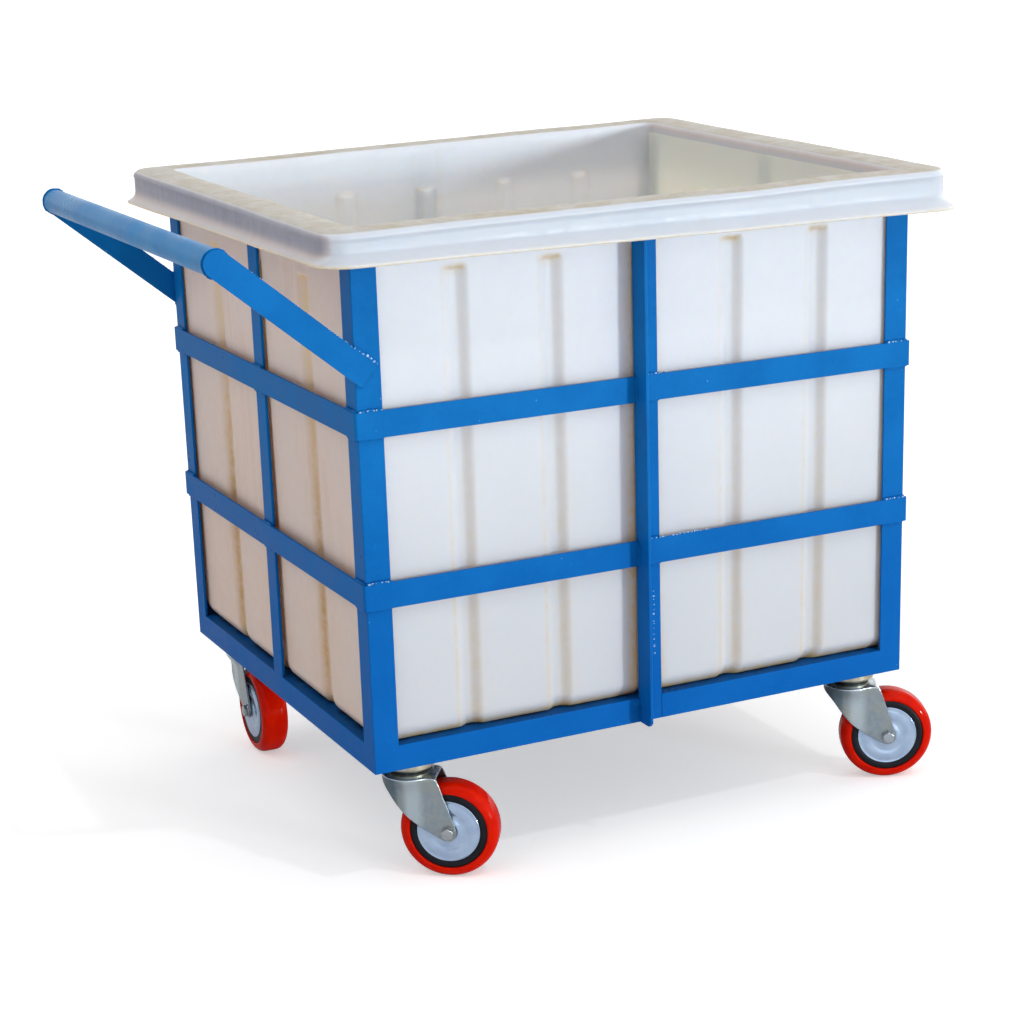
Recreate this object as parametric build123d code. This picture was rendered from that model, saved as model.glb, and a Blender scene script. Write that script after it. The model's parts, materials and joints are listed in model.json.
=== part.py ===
from build123d import *
from math import atan, cos, degrees, radians, sin, sqrt
import os

# Steel stock of the frame
bar = 40.0                  # leg of the angle iron and width of the flat bar
steel = 5.0                 # thickness of both
root_radius = 4.0           # inside corner of the angle iron
toe_radius = 2.0            # tips of its legs
vertex_radius = 1.5         # its outside corner

# Frame, measured over the corner posts
frame_length = 950.0
frame_width = 820.0
sill_bottom = 197.5
upper_rail_drop = 314.0     # from the rim's top to the upper rails' lower edge
rail_corner_radius = 4.0
cross_bar_spacing = 300.0   # between the two bars under the tub
post_drop = 12.0            # posts end this far under the rim's flat underside
leg_bevel = 8.0             # lower tip of the mid posts' outward leg

# Tub
rim_top = 1028.5
tub_wall = 6.0
tub_clearance = 1.0         # from the posts, just under the rim
tub_draft = 18.0            # how far each wall leans in from rim to foot
tub_corner_radius = 44.0
rim_end_overhang = 55.0     # rim beyond the corner posts, at the ends
rim_clearance = 1.0         # rim's flat underside beyond the mid posts' outward legs
rim_corner_radius = 56.0
rim_edge_radius = 10.0
skirt_drop = 59.0           # from the rim's top to the lip's edge
lip_flare = 16.0
lip_height = 13.0
flute_depth = 12.0
flute_radius = 8.0
flute_top_drop = 70.0       # from the rim's top to the flutes' upper ends
side_flute_width = 40.0
side_flute_pitch = 155.0
side_flute_count = 5
end_flute_width = 46.0
end_flute_pitch = 200.0
end_flute_count = 3

# Push handle
arm_length = 282.0          # square-cut foot to the tube's axis
arm_angle = 40.0
arm_foot_gap = 36.7         # from the upper rail to the foot's lowest corner
handle_wall = 2.6

# Casters
wheel_diameter = 155.0
tyre_width = 48.0
tread_width = 30.0          # flat part of the tread
core_radius = 61.0          # black core, under the tyre
core_width = 46.0
cover_radius = 49.5
cover_sheet = 1.5
cover_dish = 3.0            # how far the cover's middle stands in from its edge
cover_seat = 4.5            # ring of the core that the cover rests on
hub_radius = 16.0
hub_length = 50.0
web = 14.0                  # core's middle plate
trail = 62.0                # kingpin to axle, on the level
fork_sheet = 3.5
fork_gap = 54.0             # between the fork's legs
fork_head_radius = 43.0
fork_head_drop = 10.0       # dome of the head
fork_tip_radius = 14.0
fork_crown_radius = 24.0    # flat top of the head
fork_brim = 1.0             # head's edge beyond the round front
fork_back = 47.0            # kingpin to the legs' back edge, under the head
fork_knee_lead = 6.0        # bend of the legs' front edge, ahead of the kingpin
fork_knee_rise = 28.0       # the same, above the axle
fork_nose = 5.0             # depth of the front, under the head
race_radius = 40.0
race_height = 16.0
race_bevel = 4.0
kingpin_radius = 7.0
kingpin_head_radius = 13.0
kingpin_head_height = 5.0
plate_length = 105.0
plate_width = 85.0
plate_thickness = 4.0
plate_corner_radius = 8.0
plate_hole_length = 80.0    # hole spacing along the trolley
plate_hole_width = 60.0
plate_bolt_radius = 4.0
plate_bolt_flats = 13.0
plate_bolt_head = 5.3
plate_nut = 6.5
axle_radius = 6.0
axle_flats = 18.0
axle_head = 7.5
axle_nut = 10.0
axle_sleeve_wall = 3.0
front_left_inset = 81.0     # kingpins along the trolley, from the posts' outside
back_left_inset = 70.0
right_inset = 59.0
side_inset = 62.0           # and across it
pad_thickness = 6.0
pad_margin = 16.0           # pad beyond the caster's plate

# Clearances
running = 0.06              # turning fits, on the radius
gap = 0.3                   # between turning faces
bond = 0.05                 # between bonded round pieces
bolt_clearance = 0.5        # bolts in their holes, on the radius

# Way each caster trails, in degrees round +Z
front_left_angle = -34.4
front_right_angle = -24.5
back_left_angle = -91.6
back_right_angle = -48.0

# Levels and places that follow from the sizes above
half_length = frame_length / 2
half_width = frame_width / 2
sill_top = sill_bottom + bar
post_top = rim_top - tub_wall - post_drop
upper_rail_bottom = rim_top - upper_rail_drop
lower_rail_bottom = (sill_bottom + upper_rail_bottom) / 2
rim_side_overhang = bar - steel + rim_edge_radius + rim_clearance
rim_length = frame_length + 2 * rim_end_overhang
rim_width = frame_width + 2 * rim_side_overhang
lip_bottom = rim_top - skirt_drop
tub_height = rim_top - sill_top
draft_per_height = tub_draft / tub_height
draft_angle = degrees(atan(draft_per_height))
handle_radius = bar / 2
arm_foot_x = -half_length + bar / 2
arm_foot_lowest = upper_rail_bottom + bar + arm_foot_gap
arm_foot_height = arm_foot_lowest + bar / 2 * cos(radians(arm_angle))
handle_x = arm_foot_x - arm_length * cos(radians(arm_angle))
handle_z = arm_foot_height + arm_length * sin(radians(arm_angle))
pad_bottom = sill_bottom
plate_bottom = pad_bottom - plate_thickness
race_bottom = plate_bottom - race_height
head_top = race_bottom - gap
head_edge = head_top - fork_head_drop
axle_height = wheel_diameter / 2
tyre_radius = wheel_diameter / 2
leg_outside = fork_gap / 2 + fork_sheet
fork_front = fork_head_radius - fork_brim - leg_outside
sleeve_radius = axle_radius + bolt_clearance + axle_sleeve_wall
caster_inset = {
    "front_left": front_left_inset,
    "front_right": right_inset,
    "back_left": back_left_inset,
    "back_right": right_inset,
}
caster_angle = {
    "front_left": front_left_angle,
    "front_right": front_right_angle,
    "back_left": back_left_angle,
    "back_right": back_right_angle,
}

# The model is shifted along X so that its box is centred on the origin
handle_end = handle_x - handle_radius
tub_end = half_length + rim_end_overhang + lip_flare
frame_x = -(handle_end + tub_end) / 2


def round_corner(face, point, radius):
    corner = face.vertices().sort_by_distance(point)[0]
    return fillet(corner, radius)


def angle_section():
    """Angle iron with its outside corner at the origin and its legs along +X and +Y."""
    corners = [(0, 0), (bar, 0), (bar, steel), (steel, steel), (steel, bar), (0, bar)]
    face = make_face(Polyline(*corners, close=True))
    face = round_corner(face, (steel, steel), root_radius)
    face = round_corner(face, (bar, steel), toe_radius)
    face = round_corner(face, (steel, bar), toe_radius)
    return round_corner(face, (0, 0), vertex_radius)


def block(x0, x1, y0, y1, z0, z1):
    size = Box(x1 - x0, y1 - y0, z1 - z0)
    return Pos((x0 + x1) / 2, (y0 + y1) / 2, (z0 + z1) / 2) * size


def to_back(part):
    return mirror(part, about=Plane.XZ)


def to_right(part):
    return mirror(part, about=Plane.YZ)


def corner_post():
    """Front left post, from the sill's lower edge to just under the rim."""
    post = extrude(angle_section(), amount=post_top - sill_bottom)
    return Pos(-half_length, -half_width, sill_bottom) * post


def front_mid_post():
    """Flat leg in the plane of the corner posts, other leg standing outwards, its lower tip bevelled."""
    section = mirror(angle_section(), about=Plane.XZ)
    post = extrude(section, amount=post_top - sill_bottom)
    tip = [(-bar, 0), (leg_bevel - bar, 0), (-bar, leg_bevel)]
    post = post - extrude(Plane.YZ * make_face(Polyline(*tip, close=True)), amount=steel)
    return Pos(-bar / 2, -half_width + steel, sill_bottom) * post


def left_mid_post():
    """Flat bar on the end sill."""
    return block(-half_length, -half_length + steel, -bar / 2, bar / 2, sill_top, post_top)


def front_sill():
    """Angle under the tub, notched round the posts that stand in its face."""
    run = frame_length - 2 * (steel + root_radius)
    section = Plane.YZ * (Rot(0, 0, -90) * angle_section())
    sill = Pos(-run / 2, -half_width, sill_top) * extrude(section, amount=run)
    for x in (-half_length + bar / 2, 0, half_length - bar / 2):
        left = x - bar / 2
        sill = sill - block(left, left + bar, -half_width, -half_width + steel, sill_bottom, sill_top)
    return sill


def left_sill():
    """Angle between the front and back sills, its face flush with the corner posts."""
    run = frame_width - 2 * bar
    section = Plane.XZ * (Rot(0, 0, -90) * angle_section())
    return Pos(-half_length, run / 2, sill_top) * extrude(section, amount=run)


def front_rail(bottom):
    """Two flat bars outside the posts, cut by the mid post's outward leg."""
    outside = -half_width - steel
    end = half_length + steel
    left = Rectangle(end - bar / 2, steel, align=(Align.MIN, Align.MIN))
    left = Pos(-end, outside) * left
    leg_root = -bar / 2 + steel + root_radius
    right = Rectangle(end - leg_root, steel, align=(Align.MIN, Align.MIN))
    right = Pos(leg_root, outside) * right
    left = round_corner(left, (-end, outside), rail_corner_radius)
    right = round_corner(right, (end, outside), rail_corner_radius)
    return [Pos(0, 0, bottom) * extrude(face, amount=bar) for face in (left, right)]


def left_rail(bottom):
    """Flat bar outside the end posts, between the front and back rails."""
    outside = -half_length - steel
    return block(outside, -half_length, -half_width, half_width, bottom, bottom + bar)


def cross_bar():
    """Angle under the tub's floor, from sill to sill."""
    run = frame_width - 2 * bar
    section = Plane.XZ * (Rot(0, 0, -90) * angle_section())
    return Pos(-bar / 2, run / 2, sill_top) * extrude(section, amount=run)


def rounded_block(length, width, radius, bottom, top):
    face = RectangleRounded(length, width, radius)
    return Pos(0, 0, bottom) * extrude(face, amount=top - bottom)


def tapered_block(lower, upper):
    """Solid between two rounded rectangles, each given as length, width, radius and height."""
    faces = [Pos(0, 0, height) * RectangleRounded(length, width, radius)
             for length, width, radius, height in (lower, upper)]
    return loft(faces)


def flute(width, depth, radius, wall_base, top, turn):
    """Upright channel that leans with a wall. turn brings it from the front wall to its own."""
    lean = Rot(X=draft_angle)
    bottom = sill_bottom
    channel = extrude(RectangleRounded(width, 2 * depth, radius), amount=top - bottom)
    foot = wall_base - draft_per_height * (sill_top - bottom)
    return Rot(Z=turn) * (Pos(0, -foot, bottom) * lean * channel)


def wall_flutes(length, width, grow):
    """All channels of a tub whose foot has this length and width. grow widens them by the wall."""
    depth = flute_depth + grow
    radius = flute_radius + grow
    top = rim_top - flute_top_drop + grow
    channels = []
    for turn, base in ((0, width / 2), (180, width / 2)):
        for index in range(side_flute_count):
            x = (index - (side_flute_count - 1) / 2) * side_flute_pitch
            channel = flute(side_flute_width + 2 * grow, depth, radius, base, top, turn)
            channels.append(Pos(x, 0, 0) * channel)
    for turn, base in ((90, length / 2), (-90, length / 2)):
        for index in range(end_flute_count):
            y = (index - (end_flute_count - 1) / 2) * end_flute_pitch
            channel = flute(end_flute_width + 2 * grow, depth, radius, base, top, turn)
            channels.append(Pos(0, y, 0) * channel)
    return channels


def rim_block(shrink, bottom, top):
    """Skirt and flared lip as a filled block, shrunk on every side."""
    length = rim_length - 2 * shrink
    width = rim_width - 2 * shrink
    radius = rim_corner_radius - shrink
    flare = 2 * lip_flare
    neck = bottom + lip_height
    skirt = rounded_block(length, width, radius, neck, top)
    edge_radius = rim_edge_radius - shrink
    skirt = fillet(skirt.faces().sort_by(Axis.Z)[-1].edges(), edge_radius)
    lower = (length + flare, width + flare, radius + lip_flare, bottom)
    return skirt + tapered_block(lower, (length, width, radius, neck))


def tub():
    """Moulded shell: drafted fluted walls, flat floor and a rolled rim that hangs over the posts."""
    top_length = frame_length - 2 * (steel + tub_clearance)
    top_width = frame_width - 2 * (steel + tub_clearance)
    foot_length = top_length - 2 * tub_draft
    foot_width = top_width - 2 * tub_draft
    foot_radius = tub_corner_radius - tub_draft
    outside = tapered_block((foot_length, foot_width, foot_radius, sill_top),
                            (top_length, top_width, tub_corner_radius, rim_top))
    outside = outside - wall_flutes(foot_length, foot_width, 0)
    floor_lean = 2 * draft_per_height * tub_wall
    inner_length = foot_length - 2 * tub_wall
    inner_width = foot_width - 2 * tub_wall
    lower = (inner_length + floor_lean, inner_width + floor_lean,
             foot_radius - tub_wall, sill_top + tub_wall)
    upper = (top_length - 2 * tub_wall, top_width - 2 * tub_wall,
             tub_corner_radius - tub_wall, rim_top)
    inside = tapered_block(lower, upper) - wall_flutes(foot_length, foot_width, tub_wall)
    hollow = rim_block(tub_wall, lip_bottom, rim_top - tub_wall)
    rim = rim_block(0, lip_bottom, rim_top) - hollow
    return outside + rim - inside


def handle_arm():
    """Front arm: flat bar on the post's outer face, square at the foot and round at the tube."""
    lean = radians(arm_angle)
    strip = Pos(arm_length / 2, 0) * Rectangle(arm_length, bar)
    face = strip + Pos(arm_length, 0) * Circle(bar / 2)
    foot = Plane(origin=(arm_foot_x, -half_width, arm_foot_height),
                 x_dir=(-cos(lean), 0, sin(lean)), z_dir=(0, -1, 0))
    return extrude(foot * face, amount=steel)


def handle_tube():
    """Round tube between the arms."""
    ring = Circle(handle_radius) - Circle(handle_radius - handle_wall)
    tube = extrude(Plane.XZ * ring, amount=frame_width)
    return Pos(handle_x, half_width, handle_z) * tube


def hexagon(flats, height):
    return extrude(RegularPolygon(flats / 2, 6, major_radius=False), amount=height)


def plate_holes(radius, bottom, top):
    """Upright cylinders at the four bolts of a caster's plate."""
    places = GridLocations(plate_hole_length, plate_hole_width, 2, 2)
    rod = Pos(0, 0, bottom) * extrude(Circle(radius), amount=top - bottom)
    return [place * rod for place in places]


def caster_pad(inset):
    """Front left pad, from the sills' inner faces to past the caster's plate. Kingpin at the origin."""
    top = pad_bottom + pad_thickness
    length = plate_length / 2 + pad_margin
    width = plate_width / 2 + pad_margin
    corner = (steel - inset, steel - side_inset, pad_bottom)
    pad = block(corner[0], length, corner[1], width, pad_bottom, top)
    post_side = pad.edges().filter_by(Axis.Z).sort_by_distance(corner)[0]
    pad = chamfer(post_side, 2 * root_radius)
    return pad - plate_holes(plate_bolt_radius + bolt_clearance, pad_bottom, top)


def plate_fasteners():
    """Four bolts with their nuts, round one kingpin."""
    pad_top = pad_bottom + pad_thickness
    grip = pad_top + plate_nut - plate_bottom
    head = Pos(0, 0, plate_bottom - plate_bolt_head) * hexagon(plate_bolt_flats, plate_bolt_head)
    bolt = head + Pos(0, 0, plate_bottom) * extrude(Circle(plate_bolt_radius), amount=grip)
    bore = extrude(Circle(plate_bolt_radius + bond), amount=plate_nut)
    nut = Pos(0, 0, pad_top) * (hexagon(plate_bolt_flats, plate_nut) - bore)
    pieces = []
    for place in GridLocations(plate_hole_length, plate_hole_width, 2, 2):
        pieces += [place * bolt, place * nut]
    return pieces


def caster_plate():
    plate = rounded_block(plate_length, plate_width, plate_corner_radius, plate_bottom, pad_bottom)
    centre = extrude(Circle(kingpin_radius + bond), amount=pad_bottom)
    return plate - plate_holes(plate_bolt_radius + bolt_clearance, plate_bottom, pad_bottom) - centre


def caster_race():
    """Upper bearing race under the plate."""
    inner = kingpin_radius + bond
    outline = [(inner, plate_bottom), (race_radius, plate_bottom),
               (race_radius, race_bottom + race_bevel),
               (race_radius - race_bevel, race_bottom), (inner, race_bottom)]
    return revolve(Plane.XZ * make_face(Polyline(*outline, close=True)), Axis.Z)


def caster_kingpin():
    """Rivet that carries the fork, from the plate's top to its head under the fork."""
    head_under = head_top - fork_sheet - gap
    shank_length = pad_bottom - head_under
    shank = Pos(0, 0, head_under) * extrude(Circle(kingpin_radius), amount=shank_length)
    head = extrude(Circle(kingpin_head_radius), amount=kingpin_head_height)
    head = fillet(head.faces().sort_by(Axis.Z)[0].edges(), kingpin_head_height / 2)
    return shank + Pos(0, 0, head_under - kingpin_head_height) * head


def fork_head():
    """Pressed dome with a hole for the kingpin."""
    inner = kingpin_radius + running
    brim = head_edge - fork_sheet
    under = head_top - fork_sheet
    outline = [(inner, head_top), (fork_crown_radius, head_top), (fork_head_radius, head_edge),
               (fork_head_radius, brim), (fork_head_radius - fork_sheet, brim),
               (fork_crown_radius - fork_sheet / 2, under), (inner, under)]
    return revolve(Plane.XZ * make_face(Polyline(*outline, close=True)), Axis.Z)


def fork_side():
    """Outline of the fork seen along the axle, filled across the whole fork."""
    corners = [(-fork_head_radius, head_edge), (fork_back, head_edge),
               (-fork_knee_lead, axle_height + fork_knee_rise),
               (-fork_head_radius, head_edge - fork_sheet - fork_nose)]
    tip = Pos(trail, axle_height) * Circle(fork_tip_radius)
    face = make_hull(Polyline(*corners, close=True).edges() + tip.edges())
    return extrude(Plane.XZ * face, amount=fork_head_radius, both=True)


def fork_plan(half, reach):
    """Fork from above, filled: round at the front, straight sides back to reach."""
    sides = Rectangle(fork_front + reach, 2 * half, align=(Align.MIN, Align.CENTER))
    return Pos(-fork_front, 0) * (Circle(half) + sides)


def fork():
    """Pressed fork: domed head, a flat behind it, a round front and two flat legs."""
    reach = trail + fork_tip_radius
    brim = head_edge - fork_sheet
    flat = fork_plan(leg_outside, fork_back) - Circle(fork_head_radius - fork_sheet)
    flat = Pos(0, 0, brim) * extrude(flat, amount=fork_sheet)
    sheet = fork_plan(leg_outside, reach) - fork_plan(fork_gap / 2, reach)
    sheet = extrude(sheet, amount=head_edge) & fork_side()
    eye = Pos(trail, axle_height) * Circle(axle_radius + running)
    sheet = sheet - extrude(Plane.XZ * eye, amount=fork_gap, both=True)
    return fork_head() + flat + sheet


def axle_set():
    """Axle bolt, its nut and the sleeve that the fork's legs clamp, along Y through the origin."""
    shank_length = 2 * leg_outside + axle_nut
    head = extrude(Plane.XZ * RegularPolygon(axle_flats / 2, 6, major_radius=False), amount=axle_head)
    head = Pos(0, -leg_outside, 0) * head
    shank = extrude(Plane.XZ * Circle(axle_radius), amount=shank_length)
    shank = Pos(0, shank_length - leg_outside, 0) * shank
    nut_face = RegularPolygon(axle_flats / 2, 6, major_radius=False) - Circle(axle_radius + bond)
    nut = Pos(0, leg_outside + axle_nut, 0) * extrude(Plane.XZ * nut_face, amount=axle_nut)
    sleeve_face = Circle(sleeve_radius) - Circle(axle_radius + bolt_clearance)
    sleeve = Pos(0, fork_gap / 2, 0) * extrude(Plane.XZ * sleeve_face, amount=fork_gap)
    return [head + shank, nut, sleeve]


def turned(outline):
    """Round piece about the axle. outline lists distance from the axle and place along it."""
    return revolve(make_face(Polyline(*outline, close=True)), Axis.Y)


def wheel_core():
    """Black core: hub, middle plate and rim, with a ring on each side for the cover."""
    bore = sleeve_radius + running
    seat = cover_radius - cover_seat
    rest = core_width / 2 - cover_sheet
    half = [(bore, hub_length / 2), (hub_radius, hub_length / 2), (hub_radius, web / 2),
            (seat, web / 2), (seat, rest), (cover_radius + bond, rest),
            (cover_radius + bond, core_width / 2), (core_radius, core_width / 2)]
    return turned(half + [(radius, -place) for radius, place in reversed(half)])


def wheel_cover():
    """Dished disc on the +Y side."""
    edge = core_width / 2
    seat = cover_radius - cover_seat
    middle = edge - cover_dish
    hole = hub_radius + bond
    return turned([(hole, middle), (seat - cover_dish, middle), (seat, edge), (cover_radius, edge),
                   (cover_radius, edge - cover_sheet), (seat, edge - cover_sheet),
                   (seat - cover_dish, middle - cover_sheet), (hole, middle - cover_sheet)])


def wheel_tyre():
    """Cast tread with a flat crown and round shoulders."""
    inner = core_radius + bond
    side = tyre_width / 2
    crown = tread_width / 2
    shoulder = side - crown
    low = tyre_radius - shoulder
    bulge = shoulder / sqrt(2)
    edges = [Line((inner, -core_width / 2), (low, -side)),
             ThreePointArc((low, -side), (low + bulge, -crown - bulge), (tyre_radius, -crown)),
             Line((tyre_radius, -crown), (tyre_radius, crown)),
             ThreePointArc((tyre_radius, crown), (low + bulge, crown + bulge), (low, side)),
             Line((low, side), (inner, core_width / 2)),
             Line((inner, core_width / 2), (inner, -core_width / 2))]
    return revolve(make_face(edges), Axis.Y)


def write(name, *pieces):
    """One node, moved into the shifted frame."""
    placed = [Pos(frame_x, 0, 0) * piece for piece in pieces]
    shape = placed[0] if len(placed) == 1 else Compound(children=placed)
    export_step(shape, os.path.join("parts", name + ".step"))


def write_frame():
    post = corner_post()
    write("corner_post_front_left", post)
    write("corner_post_front_right", to_right(post))
    write("corner_post_back_left", to_back(post))
    write("corner_post_back_right", to_back(to_right(post)))
    write("mid_post_front", front_mid_post())
    write("mid_post_back", to_back(front_mid_post()))
    write("mid_post_left", left_mid_post())
    write("mid_post_right", to_right(left_mid_post()))
    write("sill_front", front_sill())
    write("sill_back", to_back(front_sill()))
    write("sill_left", left_sill())
    write("sill_right", to_right(left_sill()))
    for level, bottom in (("lower", lower_rail_bottom), ("upper", upper_rail_bottom)):
        rails = front_rail(bottom)
        write(level + "_rail_front", *rails)
        write(level + "_rail_back", *[to_back(rail) for rail in rails])
        write(level + "_rail_left", left_rail(bottom))
        write(level + "_rail_right", to_right(left_rail(bottom)))
    write("cross_bar_left", Pos(-cross_bar_spacing / 2, 0, 0) * cross_bar())
    write("cross_bar_right", Pos(cross_bar_spacing / 2, 0, 0) * cross_bar())


def write_handle():
    write("handle_arm_front", handle_arm())
    write("handle_arm_back", to_back(handle_arm()))
    write("handle_tube", handle_tube())


def kingpin_place(corner):
    side_x = -1 if "left" in corner else 1
    side_y = -1 if "front" in corner else 1
    return side_x * (half_length - caster_inset[corner]), side_y * (half_width - side_inset)


def corner_pad(corner):
    """Pad of one caster, turned to face its own corner."""
    pad = caster_pad(caster_inset[corner])
    pad = pad if "left" in corner else to_right(pad)
    return pad if "front" in corner else to_back(pad)


def write_casters():
    pads = []
    fasteners = []
    for corner, heading in caster_angle.items():
        x, y = kingpin_place(corner)
        place = Pos(x, y, 0)
        turn = place * Rot(Z=heading)
        wheel = turn * Pos(trail, 0, axle_height)
        pads.append(place * corner_pad(corner))
        fasteners += [place * piece for piece in plate_fasteners()]
        write("plate_" + corner, place * caster_plate())
        write("race_" + corner, place * caster_race())
        write("kingpin_" + corner, place * caster_kingpin())
        write("fork_" + corner, turn * fork())
        write("axle_" + corner, *[wheel * piece for piece in axle_set()])
        write("core_" + corner, wheel * wheel_core())
        write("tyre_" + corner, wheel * wheel_tyre())
        cover = wheel_cover()
        write("covers_" + corner, wheel * cover, wheel * to_back(cover))
    write("caster_pads", *pads)
    write("plate_fasteners", *fasteners)


os.makedirs("parts", exist_ok=True)
write_frame()
write("tub", tub())
write_handle()
write_casters()
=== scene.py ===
import json
from math import cos, exp, pi, radians, sin
from random import Random

import bmesh
import bpy
from mathutils import Matrix, Vector, noise


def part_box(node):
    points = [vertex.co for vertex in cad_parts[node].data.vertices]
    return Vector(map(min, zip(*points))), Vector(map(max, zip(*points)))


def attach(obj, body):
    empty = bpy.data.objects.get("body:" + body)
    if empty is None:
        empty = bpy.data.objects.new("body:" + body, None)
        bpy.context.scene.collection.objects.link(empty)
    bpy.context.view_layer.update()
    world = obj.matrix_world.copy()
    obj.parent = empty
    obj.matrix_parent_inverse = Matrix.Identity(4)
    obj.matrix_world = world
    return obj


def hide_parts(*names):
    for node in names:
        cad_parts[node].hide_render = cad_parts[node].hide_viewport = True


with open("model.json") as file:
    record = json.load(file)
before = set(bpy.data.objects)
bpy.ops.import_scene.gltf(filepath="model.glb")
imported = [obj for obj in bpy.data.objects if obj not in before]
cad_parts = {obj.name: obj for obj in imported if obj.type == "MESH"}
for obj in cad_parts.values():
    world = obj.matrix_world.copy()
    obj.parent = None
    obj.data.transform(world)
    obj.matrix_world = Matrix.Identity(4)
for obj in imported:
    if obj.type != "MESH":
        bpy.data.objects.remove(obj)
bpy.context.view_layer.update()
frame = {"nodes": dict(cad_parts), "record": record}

# Camera, worked out from the straight edges of the steel in the photograph
CAMERA_PLACE = (-1.6194, -3.4692, 1.4791)
CAMERA_YAW = -0.4436
CAMERA_PITCH = -0.299
CAMERA_ROLL = 0.0324
CAMERA_LENS = 82.14
CAMERA_SENSOR = 36.0
CAMERA_SHIFT = 0.0859

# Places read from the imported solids
POST_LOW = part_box("corner_post_front_left")[0]
POST_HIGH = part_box("corner_post_back_right")[1]
TUB_LOW, TUB_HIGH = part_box("tub")
MIDDLE_X = (POST_LOW.x + POST_HIGH.x) / 2
HALF_LENGTH = (POST_HIGH.x - POST_LOW.x) / 2
HALF_WIDTH = (POST_HIGH.y - POST_LOW.y) / 2
CORNERS = ("front_left", "front_right", "back_left", "back_right")

# Tub, in metres
FOOT = TUB_LOW.z
RIM_TOP = TUB_HIGH.z
SKIN = 0.006                # wall thickness
STEEL = 0.005               # thickness of the bars that the walls stand behind
WALL_GAP = 0.001            # play between walls and posts
DRAFT = 0.004               # lean of each wall from rim to foot
FOOT_IN = 0.014             # further inset at the foot, and the height over which the wall rounds in to it
FOOT_ROUND = 0.026
FOOT_BEND = 0.003           # rounding under the foot
FLOOR_BEND = 0.02           # rounding between walls and floor inside
BASE_INSET = 0.09           # inset of the flat middle of underside and floor
WALL_ROUND = 0.018          # upright corners, and the least that is left of them
WALL_ROUND_LEAST = 0.004
WALL_START = 0.004          # plain wall begins and ends at these distances from the bends
WALL_END = 0.012
RIM_OVER_END = 0.055        # reach of the rim over the posts
RIM_OVER_SIDE = 0.0435
RIM_ROUND = 0.040           # corners of the rim
NECK_ROUND = 0.006          # bends under the rim
LIP_FLARE_END = 0.007       # reach of the lip over the rim
LIP_FLARE_SIDE = 0.0225
LIP_HEIGHT = RIM_TOP - 0.060
LIP_RISE = 0.019            # height of the flare over the lip's edge
LIP_CURVE = 2.3             # power of the flare's curve
LIP_EDGE = 0.0035           # thickness of the lip's edge
LIP_EDGE_TOP = 0.003
RIM_EDGE = 0.0100           # rounding of the rim's outer edge
RIM_STEP = 0.0013           # set-back of the rim's face under that rounding
RIM_CROWN = 0.0012          # rise of the flange's middle
MOUTH_EDGE = 0.009          # rounding of the rim's inner edge
FLUTE_FLOOR = 0.003         # half width of a flute's flat bottom
FLUTE_CAP = 0.010           # height over which a flute's upper end runs out
INNER_CAP_RISE = 0.008      # how much higher that end lies inside the tub
FLUTE_DEPTH = 0.009
SIDE_FLUTE_HALF = 0.022
SIDE_FLUTE_TOP = RIM_TOP - 0.075
SIDE_FLUTES = (-0.310, -0.155, 0.0, 0.155, 0.310)
END_FLUTE_HALF = 0.027
END_FLUTE_TOP = RIM_TOP - 0.100
END_FLUTES = (-0.200, 0.0, 0.200)
WALL_WAVE = 0.0012          # slight unevenness of walls and rim
RIM_WAVE = 0.0016
LEFT_END = 3                # number of the pushed end among the four sides
LEFT_END_YELLOWING_AND_GLOW = 0.85         # yellowing of that end and of the other sides, partly stain and partly a painted warm glow
OTHER_YELLOWING_AND_GLOW = 0.5

# Steel frame, in metres
BAR = 0.040
ARM_ANGLE = radians(40)
ARM_FOOT_GAP = 0.0367       # from the upper rail to the foot's lowest corner
TUBE_RADIUS = 0.020
EDGE_ROUND = 0.0011         # worn edges of the bars and of the zinc pieces
ZINC_EDGE_ROUND = 0.0004
WELD = 0.0026               # half thickness of a weld bead
WELD_OUT = 0.0014           # middle of a bead from the face that it lies on
WELD_OVER = 0.0006          # middle of a bead over or under a rail
THIN_WELD = WELD * 0.7      # beads on the mid posts' legs and the tube's ends
THIN_OUT = 0.0004
ARM_WELD = WELD * 1.3       # beads along the push arms' feet, and their lengths up the arm
ARM_WELD_UPPER = 0.043
ARM_WELD_LOWER = 0.009
SPATTER_X = MIDDLE_X + 0.0072
SPATTER_TOP = 0.410         # row of droplets down each mid post
SPATTER_END = 0.308
BEAD_SIDES = 8
TUBE_SIDES = 56

# Casters, in metres; their own X runs back along the trail from the kingpin
JOINTS = {joint["name"]: joint for joint in frame["record"]["behaviour"]["joints"]}
AXLE_PLACE = JOINTS["wheel_roll_front_left"]["pos_m"]
PIN_PLACE = JOINTS["caster_turn_front_left"]["pos_m"]
AXLE_HEIGHT = AXLE_PLACE[2]
TRAIL = (Vector(AXLE_PLACE) - Vector(PIN_PLACE)).xy.length
WHEEL_STEPS = 96
TYRE_HALF = 0.024
TYRE_SHOULDER = 0.0155
CORE_RADIUS = 0.061
CORE_HALF = 0.023
RING_HALF = CORE_HALF - 0.0010
HUB_HALF = 0.025
HUB_RADIUS = 0.016
PLATE_HALF = 0.007
DISC_RADIUS = 0.0495
DISC_STEP = 0.029
DISC_SHEET = 0.0009
DISC_ROLL = 0.0010          # rounding of the discs' edge
AXLE_RADIUS = 0.006
AXLE_FLATS = 0.018
AXLE_HEAD = 0.0075
AXLE_NUT = 0.010
AXLE_WASHER = 0.0014
AXLE_MIDDLE = 0.0002        # the bolt's ends close round this
HEX_TURN = 0.0016           # corners turned down on head and nut
THREAD_STEP = 0.0007
THREAD_DEPTH = 0.0005
SLEEVE_RADIUS = 0.0095
FORK_SHEET = 0.0035
LEG_OUT = 0.0305            # outside of the legs from the middle
HEAD_RADIUS = 0.043
CROWN_RADIUS = 0.024
HEAD_RISE = 0.010           # crown over the fold
HEAD_CURVE = 1.4            # power of the crown's fall
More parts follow.
